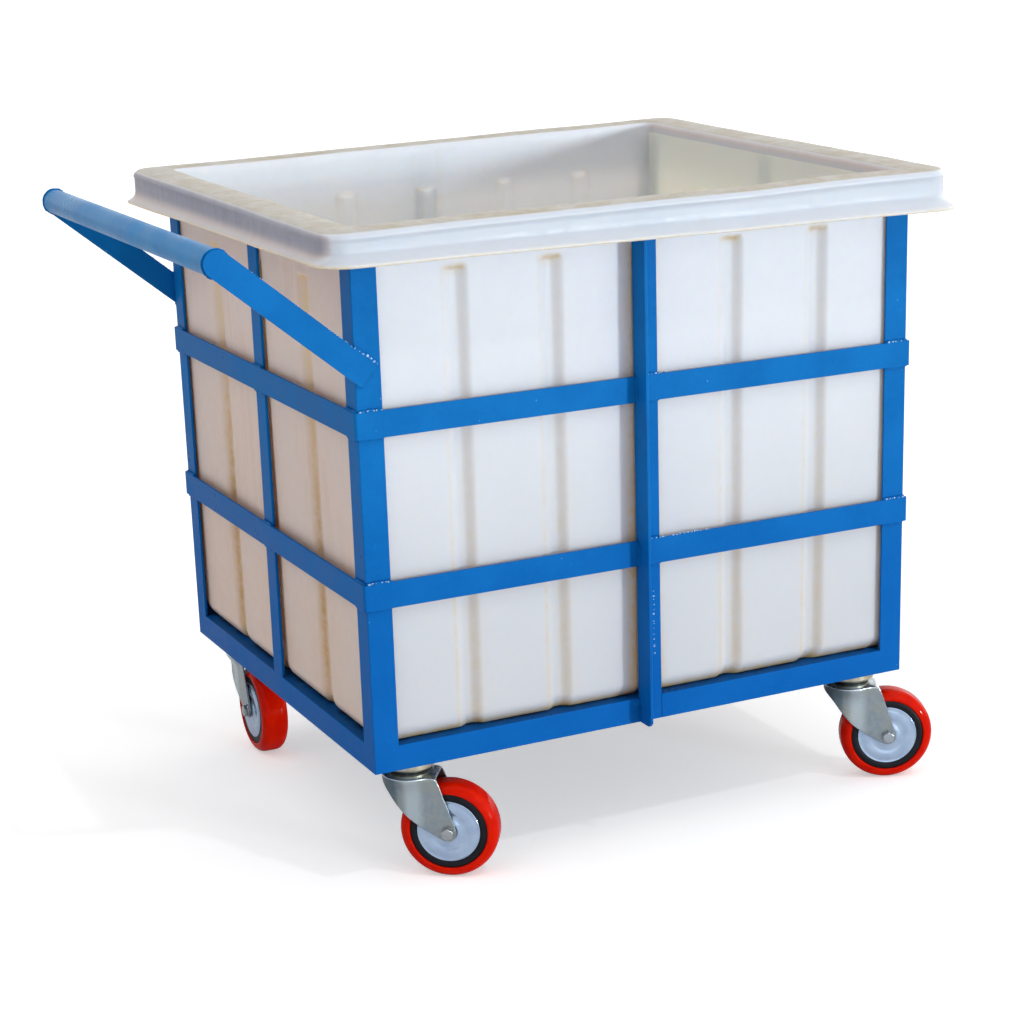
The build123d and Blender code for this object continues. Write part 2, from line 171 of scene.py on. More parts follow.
FORK_EDGE = PIN_PLACE[2] - HEAD_RISE
FORK_BACK = 0.047
FORK_TIP = 0.014
TIP_TOUCH = radians(18.3)   # where the back edge meets the round tip
FORK_BEND = 0.0115          # middle of the round front, ahead of the kingpin
FORK_BLEND = 0.024          # depth over which the round head runs into the flat legs
# Legs' front edge, from the axle's height
FORK_FRONT = ((-0.043, 0.081), (-0.030, 0.064), (-0.017, 0.045), (-0.007, 0.032), (0.003, 0.0215),
              (0.016, 0.0112), (0.034, -0.0004), (0.0545, -0.0128))
HEAD_RINGS = (0.008, 0.016, 0.024, 0.029, 0.034, 0.0385, 0.0415)
LEG_LEVELS = (0.03, 0.08, 0.16, 0.27, 0.4, 0.55, 0.7, 0.85, 0.96, 1.0)

# Slight warp of the moulded rim
WARP_START = RIM_TOP - 0.076
WARP_RUN = 0.05
TOP_TILT = (0.0107, 0.012)  # rise of the rim's top along X and Y, and along both at once
TOP_TWIST = 0.0083
LIP_TILT = (-0.0070, -0.003)
NECK_TILT = 0.35            # share of the top's tilt at the lip's neck

# Studio
ROOM_LIGHT = 0.28           # strength of the room on the object, and more where the camera sees it
ROOM_SEEN = 0.76
FLOOR_GLOW = 0.42
FLOOR_SIZE = 60.0
FRONT_LIGHT = 16.0
FRONT_PLACE = (1.2, -2.9, 2.1)
# Suns by energy, angle across, tint and turn
SUNS = {
    "key": (1.6, 5, (0.86, 0.94, 1.0), (86.5, 0, 29)),
    "top": (0.92, 80, (1.0, 0.97, 0.94), (0, 0, 0)),
    "right": (0.7, 60, (1.0, 0.93, 0.84), (62, 0, 100)),
    "left": (0.5, 60, (1.0, 0.96, 0.97), (50, 0, -80)),
    "spark": (0.3, 2, (1.0, 1.0, 1.0), (30, 0, 24)),
}


def colour(red, green, blue):
    """Display colour of 0 to 255 as the linear colour of a socket."""
    linear = [((v / 255 + 0.055) / 1.055) ** 2.4 if v > 10 else v / 3294.6 for v in (red, green, blue)]
    return (*linear, 1.0)


def arc(centre, radius, first, last, parts):
    """Points of an arc, given in degrees, both ends included."""
    turns = [radians(first + (last - first) * index / parts) for index in range(parts + 1)]
    return [(centre[0] + radius * cos(turn), centre[1] + radius * sin(turn)) for turn in turns]


def finish_piece(name, mesh_maker, body, finish, replaced=()):
    """Turns a bmesh into a smooth piece that rides on a body."""
    mesh = bpy.data.meshes.new(name)
    mesh_maker.to_mesh(mesh)
    mesh_maker.free()
    mesh.shade_smooth()
    piece = bpy.data.objects.new(name, mesh)
    bpy.context.scene.collection.objects.link(piece)
    mesh.materials.append(finish)
    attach(piece, body)
    if replaced:
        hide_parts(*replaced)
    return piece


# Materials

class Graph:
    """Adds nodes to one tree. An input that is a socket is linked, any other value is set."""

    def __init__(self, tree):
        self.tree = tree

    def feed(self, node, values):
        for key, value in values.items():
            if isinstance(value, bpy.types.NodeSocket):
                self.tree.links.new(value, node.inputs[key])
            else:
                node.inputs[key].default_value = value

    def put(self, kind, values, **settings):
        node = self.tree.nodes.new(kind)
        for key, value in settings.items():
            setattr(node, key, value)
        self.feed(node, values)
        return node

    def math(self, operation, first, second=0.0):
        return self.put("ShaderNodeMath", {0: first, 1: second}, operation=operation).outputs[0]

    def rise(self, value, low, high, start=0.0, end=1.0):
        """Smooth change from start to end while value goes from low to high."""
        values = {"Value": value, "From Min": low, "From Max": high, "To Min": start, "To Max": end}
        return self.put("ShaderNodeMapRange", values, interpolation_type="SMOOTHSTEP").outputs[0]

    def mix(self, share, first, second):
        return self.put("ShaderNodeMix", {0: share, 6: first, 7: second}, data_type="RGBA").outputs[2]

    def place(self, stretch=(1, 1, 1)):
        """Object coordinates, stretched."""
        source = self.put("ShaderNodeTexCoord", {}).outputs["Object"]
        return self.put("ShaderNodeMapping", {"Vector": source, "Scale": stretch}).outputs[0]

    def share(self, first, second):
        return self.math("MULTIPLY", first, second)

    def attribute(self, name):
        """Value of one of the piece's own attributes."""
        return self.put("ShaderNodeAttribute", {}, attribute_name=name).outputs["Fac"]

    def facing(self):
        """Direction in which the surface looks."""
        return self.put("ShaderNodeNewGeometry", {}).outputs["Normal"]

    def axis(self, vector, name):
        return self.put("ShaderNodeSeparateXYZ", {0: vector}).outputs[name]

    def grain(self, place, scale, detail=3.0, rough=0.5):
        values = {"Vector": place, "Scale": scale, "Detail": detail, "Roughness": rough}
        return self.put("ShaderNodeTexNoise", values).outputs["Fac"]

    def bump(self, height, depth, strength):
        values = {"Height": height, "Distance": depth, "Strength": strength}
        return self.put("ShaderNodeBump", values).outputs[0]


def group(name, inputs, outputs):
    """Empty node group with named float inputs and outputs."""
    tree = bpy.data.node_groups.new(name, "ShaderNodeTree")
    for label, value in inputs.items():
        socket = tree.interface.new_socket(label, in_out="INPUT", socket_type="NodeSocketFloat")
        socket.default_value = value
    for label in outputs:
        tree.interface.new_socket(label, in_out="OUTPUT", socket_type="NodeSocketFloat")
    graph = Graph(tree)
    return tree, graph, graph.put("NodeGroupInput", {}).outputs, graph.put("NodeGroupOutput", {})


def specks_group():
    """Sparse small dots, such as chips and dust."""
    tree, graph, given, put_out = group("specks", {"Scale": 60.0, "Size": 0.15, "Share": 0.2}, ["Mask"])
    place = graph.place()
    cells = graph.put("ShaderNodeTexVoronoi", {"Vector": place, "Scale": given["Scale"]})
    ragged = graph.grain(place, 900.0, 2.0)
    reach = graph.math("ADD", cells.outputs["Distance"], graph.share(ragged, 0.12))
    dot = graph.math("LESS_THAN", reach, graph.math("ADD", given["Size"], 0.06))
    lottery = graph.axis(cells.outputs["Color"], "X")
    chosen = graph.math("LESS_THAN", lottery, given["Share"])
    graph.feed(put_out, {"Mask": graph.share(dot, chosen)})
    return tree


def streaks_group():
    """Upright runs, such as drips and faint grain down a wall."""
    tree, graph, given, put_out = group("streaks", {"Scale": 20.0, "Threshold": 0.6}, ["Mask"])
    place = graph.place((1, 1, 0.06))
    run = graph.grain(place, given["Scale"], 4.0, 0.6)
    soft = graph.math("ADD", given["Threshold"], 0.12)
    broken = graph.rise(graph.grain(graph.place(), 7.0, 2.0), 0.4, 0.62)
    graph.feed(put_out, {"Mask": graph.share(graph.rise(run, given["Threshold"], soft), broken)})
    return tree


def corner_shade_and_dirt_group():
    """Painted shade where surfaces meet, darker where ambient occlusion finds them close and broken by a
    cloud; dirt gathers there too.
    """
    tree, graph, given, put_out = group("corner_shade_and_dirt", {"Reach": 0.02}, ["Mask"])
    shade = graph.put("ShaderNodeAmbientOcclusion", {"Distance": given["Reach"]}, samples=6)
    cloud = graph.grain(graph.place(), 38.0, 4.0, 0.6)
    dark = graph.math("SUBTRACT", 1.0, shade.outputs["AO"])
    graph.feed(put_out, {"Mask": graph.share(dark, graph.rise(cloud, 0.25, 0.7, 0.35, 1.0))})
    return tree


SPECKS = specks_group()
STREAKS = streaks_group()
CORNER_SHADE_AND_DIRT = corner_shade_and_dirt_group()


def masked(graph, tree, **values):
    """Mask of a shared group, with this material's own values."""
    node = graph.put("ShaderNodeGroup", {}, node_tree=tree)
    graph.feed(node, {key.title(): value for key, value in values.items()})
    return node.outputs["Mask"]


def new_material(name):
    made = bpy.data.materials.new(name)
    made.use_nodes = True
    return made, Graph(made.node_tree), made.node_tree.nodes["Principled BSDF"]


def enamel_finish(name, gloss, fleck_share, pale_and_sheen=0.0):
    """Brushed-on blue paint, deeper below, with painted shade and dirt in its corners, painted shade on the
    shelf at the foot, chips, and shares of pale flecks, partly bare metal and partly painted glints, and of
    paler paint, partly rubbed and partly a painted sheen.
    """
    made, graph, shader = new_material(name)
    place = graph.place()
    height = graph.axis(place, "Z")
    cloud = graph.grain(place, 9.0, 4.0, 0.6)
    fine = graph.grain(place, 130.0, 3.0)
    paint = graph.mix(graph.rise(cloud, 0.3, 0.7), colour(12, 103, 174), colour(16, 112, 185))
    paint = graph.mix(graph.rise(fine, 0.45, 0.8, 0.0, 0.2), paint, colour(16, 124, 196))
    low = graph.rise(height, FOOT - 0.03, FOOT + 0.55, 0.55, 0.0)
    paint = graph.mix(low, paint, colour(4, 82, 167))
    # Paler, greener blue in patches, partly rubbed paint and partly a painted sheen.
    shifted_tone = graph.rise(graph.grain(place, 16.0, 4.0, 0.6), 0.25, 0.7, pale_and_sheen * 0.5, pale_and_sheen)
    paint = graph.mix(shifted_tone, paint, colour(60, 190, 232))
    # Painted shade: upward faces just above the foot, such as the sill's top under the tub, are painted
    # dark blue.
    upwards = graph.rise(graph.axis(graph.facing(), "Z"), 0.6, 0.9)
    shaded_shelf = graph.share(upwards, graph.rise(height, FOOT, FOOT + 0.02, 0.6, 0.0))
    paint = graph.mix(shaded_shelf, paint, colour(0, 62, 112))
    # Painted shade with some dirt: places close to other parts are painted near-black blue.
    shade_and_dirt = graph.rise(masked(graph, CORNER_SHADE_AND_DIRT, reach=0.014), 0.3, 0.75, 0.0, 0.85)
    paint = graph.mix(shade_and_dirt, paint, colour(6, 18, 40))
    chips = masked(graph, SPECKS, scale=85.0, size=0.07, share=0.07)
    paint = graph.mix(graph.share(chips, 0.6), paint, colour(150, 190, 224))
    wear = graph.rise(graph.grain(place, 45.0, 5.0, 0.7), 0.62, 0.72)
    paint = graph.mix(graph.share(wear, 0.2), paint, colour(16, 130, 208))
    # Pale flecks, partly bare metal and partly painted glints.
    bare_flecks_and_glints = graph.rise(graph.grain(place, 330.0, 3.0, 0.6), 0.42, 0.54)
    paint = graph.mix(graph.share(bare_flecks_and_glints, fleck_share), paint, colour(196, 226, 246))
    dull = graph.math("ADD", cloud, graph.share(fine, 0.4))
    lump = graph.math("ADD", graph.share(graph.grain(place, 240.0, 2.0), 0.35), cloud)
    graph.feed(shader, {
        "Base Color": paint,
        "Roughness": graph.rise(dull, 0.4, 1.0, 0.26, 0.46),
        "Normal": graph.bump(lump, 0.0006, 0.5),
        "Specular IOR Level": gloss,
    })
    return made


def walls_with_stain_and_painted_light(graph, white, height, cloud, grain, end_face):
    """White walls with ends yellowed outside, partly by stain and partly by a painted warm glow, and
    painted light on the inner walls.
    """
    # Yellowing of the outer ends, mixed with a painted warm glow.
    yellowed_and_glowing = graph.mix(graph.share(grain, 0.5), colour(220, 203, 196), colour(212, 188, 174))
    low = graph.rise(height, FOOT, FOOT + 0.6, 0.6, 0.0)
    yellowed_and_glowing = graph.mix(low, yellowed_and_glowing, colour(216, 190, 170))
    yellowed_and_glowing = graph.mix(graph.rise(cloud, 0.35, 0.65, 0.0, 0.5), yellowed_and_glowing, colour(212, 202, 196))
    yellowing_and_glow = graph.attribute("yellowing_and_glow")
    white = graph.mix(graph.share(end_face, yellowing_and_glow), white, yellowed_and_glowing)
    inside = graph.math("LESS_THAN", yellowing_and_glow, 0.1)
    # Painted light: the inner walls are painted whiter below the rim.
    painted_inner_light = graph.rise(height, RIM_TOP - 0.11, RIM_TOP - 0.05, 0.9, 0.0)
    white = graph.mix(graph.share(inside, painted_inner_light), white, colour(252, 253, 255))
    # Painted warm glow on the inner end walls.
    return graph.mix(graph.share(inside, end_face), white, colour(255, 246, 230))


def rim_tones_and_shade(graph, white, place, height, grain, end_face):
    """The rim's greyer end faces, cooler long faces, and a brownish flange that is partly stain and partly
    painted shade.
    """
    reach = graph.math("ABSOLUTE", graph.math("SUBTRACT", graph.axis(place, "X"), MIDDLE_X))
    # The skirt's end faces are painted greyer.
    skirt = graph.share(graph.rise(reach, HALF_LENGTH + 0.03, HALF_LENGTH + 0.045), end_face)
    skirt = graph.share(skirt, graph.rise(height, LIP_HEIGHT + 0.01, LIP_HEIGHT + 0.03))
    shifted_tone = graph.mix(grain, colour(156, 160, 175), colour(149, 152, 166))
    white = graph.mix(graph.share(skirt, 0.9), white, shifted_tone)
    across = graph.math("ABSOLUTE", graph.axis(place, "Y"))
    long_face = graph.rise(across, HALF_WIDTH + 0.03, HALF_WIDTH + 0.042, 0.0, 0.9)
    white = graph.mix(long_face, white, colour(196, 203, 212))
    # Upward faces of the flange are painted brown: partly stain, partly painted shade.
    upwards = graph.rise(graph.axis(graph.facing(), "Z"), 0.75, 0.97)
    flange = graph.share(upwards, graph.rise(height, RIM_TOP - 0.02, RIM_TOP - 0.015))
    patches = graph.rise(graph.grain(place, 24.0, 4.0, 0.6), 0.3, 0.65, 0.55, 0.85)
    return graph.mix(graph.share(flange, patches), white, colour(172, 162, 137))


def stained_and_shaded(graph, white, place, height, end_face):
    """Painted shade tinted ochre with dirt in the corners, ochre stains where water has run with a painted
    shade band on the flutes' slopes, and small spots in them.
    """
    # Painted shade, tinted ochre with dirt, where ambient occlusion finds nearby parts.
    shade_and_dirt = masked(graph, CORNER_SHADE_AND_DIRT, reach=0.018)
    white = graph.mix(graph.share(shade_and_dirt, 0.35), white, colour(196, 166, 112))
    ragged = graph.rise(graph.grain(place, 60.0, 5.0, 0.7), 0.3, 0.7, 0.35, 1.1)
    stain_and_shade = graph.math("MINIMUM", graph.share(graph.attribute("stain_and_shade"), ragged), 1.0)
    upper = graph.rise(height, FOOT + 0.25, FOOT + 0.65)
    ochre = graph.mix(upper, colour(190, 158, 98), colour(226, 206, 158))
    white = graph.mix(stain_and_shade, white, graph.mix(end_face, colour(204, 178, 118), ochre))
    spots = masked(graph, SPECKS, scale=60.0, size=0.12, share=0.3)
    spots = graph.share(spots, graph.rise(stain_and_shade, 0.1, 0.5))
    return graph.mix(graph.share(spots, 0.3), white, colour(112, 78, 40))


def tub_finish():
    """Aged white plastic that lets a little light through, painted darker towards the foot, with painted
    light inside and a painted warm glow on its ends.
    """
    made, graph, shader = new_material("white_plastic")
    place = graph.place()
    height = graph.axis(place, "Z")
    cloud = graph.grain(place, 5.0, 4.0, 0.6)
    fine = graph.grain(place, 70.0, 4.0, 0.65)
    grain = masked(graph, STREAKS, scale=55.0, threshold=0.42)
    end_face = graph.rise(graph.math("ABSOLUTE", graph.axis(graph.facing(), "X")), 0.45, 0.95)
    white = graph.mix(graph.rise(cloud, 0.3, 0.7), colour(214, 219, 226), colour(218, 222, 229))
    white = graph.mix(graph.rise(fine, 0.4, 0.7, 0.0, 0.12), white, colour(206, 210, 215))
    # Painted shade: the walls are painted darker towards the foot.
    white = graph.mix(graph.rise(height, FOOT, FOOT + 0.8, 0.7, 0.0), white, colour(190, 192, 196))
    white = walls_with_stain_and_painted_light(graph, white, height, cloud, grain, end_face)
    white = rim_tones_and_shade(graph, white, place, height, grain, end_face)
    white = stained_and_shaded(graph, white, place, height, end_face)
    graph.feed(shader, {
        "Base Color": white,
        "Roughness": graph.rise(fine, 0.3, 0.75, 0.36, 0.56),
        "Normal": graph.bump(graph.math("ADD", fine, graph.share(cloud, 2.0)), 0.0004, 0.25),
        "Subsurface Weight": 1.0,
        "Subsurface Radius": (1.0, 0.8, 0.66),
        "Subsurface Scale": 0.015,
    })
    return made


def zinc_finish(name, pale, dark, tint, rough):
    """Cloudy zinc plate with fine scuffs; on a fork, a painted dark reflection round its bend, a painted
    highlight band on the legs just behind it, and a painted highlight along its fold.
    """
    made, graph, shader = new_material(name)
    place = graph.place()
    cloud = graph.grain(place, 26.0, 4.0, 0.6)
    metal = graph.mix(graph.rise(graph.grain(place, 140.0, 3.0), 0.3, 0.7), dark, pale)
    metal = graph.mix(graph.rise(cloud, 0.38, 0.72, 0.0, 0.8), metal, tint)
    bend = graph.attribute("bend")
    # Painted dark reflection on the round front of a fork.
    metal = graph.mix(graph.rise(bend, -0.12, 0.3, 0.0, 0.65), metal, colour(52, 80, 96))
    # Painted highlight: a pale band on the legs just behind the round front.
    painted_highlight_stripe = graph.share(graph.rise(bend, -0.42, -0.24, 0.0, 0.5), graph.rise(bend, -0.16, -0.02, 1.0, 0.0))
    metal = graph.mix(painted_highlight_stripe, metal, colour(210, 226, 234))
    # Painted highlight along the fold under the head.
    fold = graph.rise(graph.attribute("fold"), 0.2, 0.9, 0.0, 0.8)
    metal = graph.mix(fold, metal, colour(238, 247, 252))
    # Painted shade, with some dirt, where ambient occlusion finds nearby parts.
    shade_and_dirt = masked(graph, CORNER_SHADE_AND_DIRT, reach=0.010)
    metal = graph.mix(graph.share(shade_and_dirt, 0.6), metal, colour(46, 46, 48))
    scuff = graph.grain(graph.place((1, 1, 6)), 160.0, 3.0)
    gloss = graph.math("ADD", cloud, graph.share(scuff, 0.5))
    graph.feed(shader, {
        "Base Color": metal,
        "Metallic": 0.92,
        "Roughness": graph.rise(gloss, 0.4, 1.1, rough - 0.06, rough + 0.08),
        "Normal": graph.bump(scuff, 0.0002, 0.25),
    })
    return made


def tyre_finish():
    """Glossy cast red tread with faint scuffs."""
    made, graph, shader = new_material("red_rubber")
    place = graph.place()
    cloud = graph.grain(place, 34.0, 4.0, 0.6)
    red = graph.mix(graph.rise(cloud, 0.3, 0.7), colour(202, 16, 0), colour(216, 26, 0))
    dust = masked(graph, SPECKS, scale=190.0, size=0.10, share=0.06)
    red = graph.mix(graph.share(dust, 0.3), red, colour(130, 60, 46))
    # Painted shade, with some dirt, where ambient occlusion finds nearby parts.
    shade_and_dirt = masked(graph, CORNER_SHADE_AND_DIRT, reach=0.008)
    red = graph.mix(graph.share(shade_and_dirt, 0.6), red, colour(70, 10, 4))
    graph.feed(shader, {
        "Base Color": red,
        "Roughness": graph.rise(graph.grain(place, 120.0, 4.0), 0.35, 0.75, 0.05, 0.10),
        "Normal": graph.bump(graph.grain(place, 120.0, 2.0), 0.0002, 0.05),
        "Specular IOR Level": 0.07,
    })
    return made


def moulded_finish(name, pale, dark, rough, gloss, metal=0.0):
    """Smooth finish of the wheels' cores and discs."""
    made, graph, shader = new_material(name)
    place = graph.place()
    cloud = graph.grain(place, 40.0, 4.0, 0.6)
    shade = graph.mix(graph.rise(cloud, 0.3, 0.7), dark, pale)
    # Painted shade, with some dirt, where ambient occlusion finds nearby parts.
    shade_and_dirt = masked(graph, CORNER_SHADE_AND_DIRT, reach=0.006)
    shade = graph.mix(graph.share(shade_and_dirt, 0.5), shade, colour(38, 36, 36))
    dust = masked(graph, SPECKS, scale=240.0, size=0.10, share=0.06)
    shade = graph.mix(graph.share(dust, 0.25), shade, colour(120, 116, 110))
    graph.feed(shader, {
        "Base Color": shade,
        "Roughness": graph.rise(graph.grain(place, 90.0, 4.0), 0.3, 0.75, rough - 0.08, rough + 0.08),
        "Normal": graph.bump(graph.grain(place, 120.0, 2.0), 0.0002, 0.03),
        "Specular IOR Level": gloss,
        "Metallic": metal,
    })
    return made


ENAMEL = enamel_finish("blue_enamel", 0.03, 0.0)
# Weld spatter: glossy paint with many pale flecks, partly bare metal and partly painted glints.
WELD_ENAMEL = enamel_finish("weld_enamel", 0.6, 0.85)
# The tube's paler patches are partly a painted sheen.
TUBE_ENAMEL = enamel_finish("tube_enamel", 0.14, 0.0, 0.22)
PLASTIC = tub_finish()
ZINC = zinc_finish("zinc", colour(153, 165, 174), colour(142, 155, 164), colour(158, 163, 154), 0.22)
BRIGHT_ZINC = zinc_finish("bright_zinc", colour(188, 196, 204), colour(168, 178, 188),
                          colour(180, 182, 178), 0.2)
YELLOW_ZINC = zinc_finish("yellow_zinc", colour(212, 207, 190), colour(176, 170, 152),
                          colour(196, 180, 142), 0.34)
RED = tyre_finish()
BLACK = moulded_finish("black_plastic", colour(20, 24, 32), colour(12, 14, 20), 0.42, 0.2)
GREY = moulded_finish("grey_plastic", colour(184, 205, 230), colour(167, 189, 219), 0.2, 0.5, 0.75)
FINISHES = {"blue_enamel": ENAMEL, "white_plastic": PLASTIC, "zinc": ZINC, "yellow_zinc": YELLOW_ZINC,
            "red_rubber": RED, "black_plastic": BLACK, "grey_plastic": GREY}


def dress_solids():
    """Gives every solid its finish and takes the sharpness off the metal's edges."""
    for part in frame["record"]["subparts"]:
        node = frame["nodes"][part["node"]]
        node.data.materials.clear()
        node.data.materials.append(FINISHES[part["material_slot"]])
        if part["material_slot"] in ("blue_enamel", "zinc"):
            joined = node.modifiers.new("joined", "WELD")
            joined.merge_threshold = 0.00001
            rounded = node.modifiers.new("rounded", "BEVEL")
            rounded.width = EDGE_ROUND if part["material_slot"] == "blue_enamel" else ZINC_EDGE_ROUND
            rounded.segments = 2
            rounded.limit_method = "ANGLE"
            rounded.angle_limit = radians(40)


# Tub

def smooth(value):
    value = min(max(value, 0.0), 1.0)
    return value * value * (3 - 2 * value)


def wall_size(height, inset):
    """Half length, half width and corner radius of the walls at a height, inset from their outside."""
    lean = DRAFT * (RIM_TOP - height) / (RIM_TOP - FOOT)
    lean += FOOT_IN * max(1 - (height - FOOT) / FOOT_ROUND, 0.0) ** 2
    size = [value - STEEL - WALL_GAP - lean - inset for value in (HALF_LENGTH, HALF_WIDTH)]
    return size + [max(WALL_ROUND - 0.3 * lean - inset, WALL_ROUND_LEAST)]


def rim_size(inset, flare=0.0):
    """The same for the rim, inset from its outside and widened by a share of the lip's flare."""
    size = (HALF_LENGTH + RIM_OVER_END + flare * LIP_FLARE_END,
            HALF_WIDTH + RIM_OVER_SIDE + flare * LIP_FLARE_SIDE,
            RIM_ROUND + flare * LIP_FLARE_END)
    return [value - inset for value in size]


def between(first, last, share):
    return [a + (b - a) * share for a, b in zip(first, last)]


def wall_heights(low, high, cap_shift):
    """Levels of a wall: far apart in the middle, close at the foot and where the flutes run out."""
    heights = {low + (high - low) * index / 18 for index in range(19)}
    heights |= {low + FOOT_ROUND * index / 9 for index in range(10)}
    for top in (END_FLUTE_TOP + cap_shift, SIDE_FLUTE_TOP + cap_shift):
        heights |= {top - FLUTE_CAP * 1.2 + FLUTE_CAP * 1.4 * index / 7 for index in range(8)}
    return sorted(height for height in heights if low <= height <= high)


def warp_share(height):
    """Share of the rim's tilt that the walls follow near their top."""
    return smooth((height - WARP_START) / WARP_RUN)


def lip_rings(skirt_top):
    """The skirt's inside, the lip's edge, and the flare outside it up to the rim's face."""
    neck = LIP_HEIGHT + LIP_RISE
    rings = []
    for index in range(1, 4):
        height = skirt_top + (neck - skirt_top) * index / 3
        rings.append((rim_size(SKIN), height, None, 0.0, NECK_TILT + (1 - NECK_TILT) * (1 - index / 3)))
    flare = [index / 6 for index in range(1, 7)]
    for share in flare:
        inset = SKIN + (LIP_EDGE * 0.4 - SKIN) * share
        height = neck - (LIP_RISE + 0.001) * share
        rings.append((rim_size(inset, share ** LIP_CURVE), height, None, 0.0, NECK_TILT * (1 - share)))
    for inset, rise in ((-0.0005, -0.0004), (-LIP_EDGE * 0.5, 0.0012), (-LIP_EDGE * 0.45, LIP_EDGE_TOP)):
        rings.append((rim_size(inset, 1.0), LIP_HEIGHT + rise, None, 0.0, 0.0))
    for share in flare:
        inset = RIM_STEP * share - LIP_EDGE * 0.3 * (1 - share)
        height = LIP_HEIGHT + LIP_EDGE_TOP + LIP_RISE * share
        rings.append((rim_size(inset, (1 - share) ** LIP_CURVE), height, None, 0.0, NECK_TILT * share))
    return rings


def flange_rings():
    """The rim's outer face, its rounded edge, the flange and the rounded edge of the mouth."""
    face_low = LIP_HEIGHT + LIP_RISE + 0.004
    face_high = RIM_TOP - RIM_EDGE
    rings = []
    for share in (1 / 3, 2 / 3, 1.0):
        height = face_low + (face_high - RIM_STEP - face_low) * share
        rings.append((rim_size(RIM_STEP), height, None, 0.0, NECK_TILT + (1 - NECK_TILT) * share))
    for out, height in arc((0.0, face_high), RIM_EDGE, 0, 90, 7):
        rings.append((rim_size(RIM_EDGE - out), height, None, 0.0, 1.0))
    outer = rim_size(RIM_EDGE)
    inner = wall_size(RIM_TOP, SKIN - MOUTH_EDGE)
    for share in (1 / 3, 2 / 3):
        rings.append((between(outer, inner, share), RIM_TOP + RIM_CROWN, None, 0.0, 1.0))
    for out, height in arc((0.0, RIM_TOP - MOUTH_EDGE), MOUTH_EDGE, 90, 0, 6):
        rings.append((wall_size(height, SKIN - MOUTH_EDGE + out), height, None, 0.0, 1.0))
    return rings


def tub_rings():
    """Levels of the closed skin, from the middle of the underside round to the floor inside.

    Each is a size, a height, the shift of the flutes' upper ends (none where the wall is plain),
    the share of the flutes' depth and the share of the rim's own tilt.
    """
    rings = [(wall_size(FOOT, BASE_INSET), FOOT, None, 0.0, 0.0)]
    for inset, rise in arc((FOOT_BEND, FOOT_BEND), FOOT_BEND, 270, 180, 5):
        rings.append((wall_size(FOOT + rise, inset), FOOT + rise, 0.0, 1.0, 0.0))
    under = RIM_TOP - SKIN
    for height in wall_heights(FOOT + FOOT_BEND + WALL_START, under - WALL_END, 0.0):
        rings.append((wall_size(height, 0.0), height, 0.0, 1.0, warp_share(height)))
    skirt_top = under - NECK_ROUND
    for out, height in arc((NECK_ROUND, skirt_top), NECK_ROUND, 180, 90, 4):
        rings.append((wall_size(under, -out), height, None, 0.0, 1.0))
    for inset, height in arc((SKIN + NECK_ROUND, skirt_top), NECK_ROUND, 90, 180, 4):
        rings.append((rim_size(inset), height, None, 0.0, 1.0))
    rings += lip_rings(skirt_top) + flange_rings()
    floor = FOOT + SKIN
    mouth = RIM_TOP - MOUTH_EDGE - WALL_END
    for height in reversed(wall_heights(floor + FLOOR_BEND + WALL_START, mouth, INNER_CAP_RISE)):
        rings.append((wall_size(height, SKIN), height, INNER_CAP_RISE, 1.0, warp_share(height)))
    for inset, height in arc((FLOOR_BEND, floor + FLOOR_BEND), FLOOR_BEND, 180, 270, 6):
        rings.append((wall_size(height, SKIN + inset), height, INNER_CAP_RISE, 1.0, 0.0))
    rings.append((wall_size(floor, SKIN + BASE_INSET), floor, None, 0.0, 0.0))
    return rings


def flutes(side):
    """Middles, half width and upper end of a side's flutes; ends have odd numbers, long sides even ones."""
    if side % 2:
        return END_FLUTES, END_FLUTE_HALF, END_FLUTE_TOP
    return SIDE_FLUTES, SIDE_FLUTE_HALF, SIDE_FLUTE_TOP


def tub_stations():
    """Places round a ring: side of the tub, distance from its middle, and turn round its corner."""
    stations = []
    straight = [size - WALL_ROUND for size in wall_size(RIM_TOP, 0)[:2]]
    for side in range(4):
        half = straight[side % 2]
        centres, width = flutes(side)[:2]
        places = {half * index / 12 for index in range(-12, 13)}
        for centre in centres:
            places = {place for place in places if abs(place - centre) > width * 1.25}
            places |= {centre + width * 1.15 * index / 10 for index in range(-10, 11)}
        stations += [(side, place, 0.0) for place in sorted(places)]
        stations += [(side, half, pi / 2 * index / 10) for index in range(1, 10)]
    return stations


def flute_share(side, along):
    """Depth of the flutes at a place along a side, from 0 to 1."""
    centres, width = flutes(side)[:2]
    distance = min(abs(along - centre) for centre in centres)
    return 1.0 - smooth((distance - FLUTE_FLOOR) / (width - FLUTE_FLOOR))


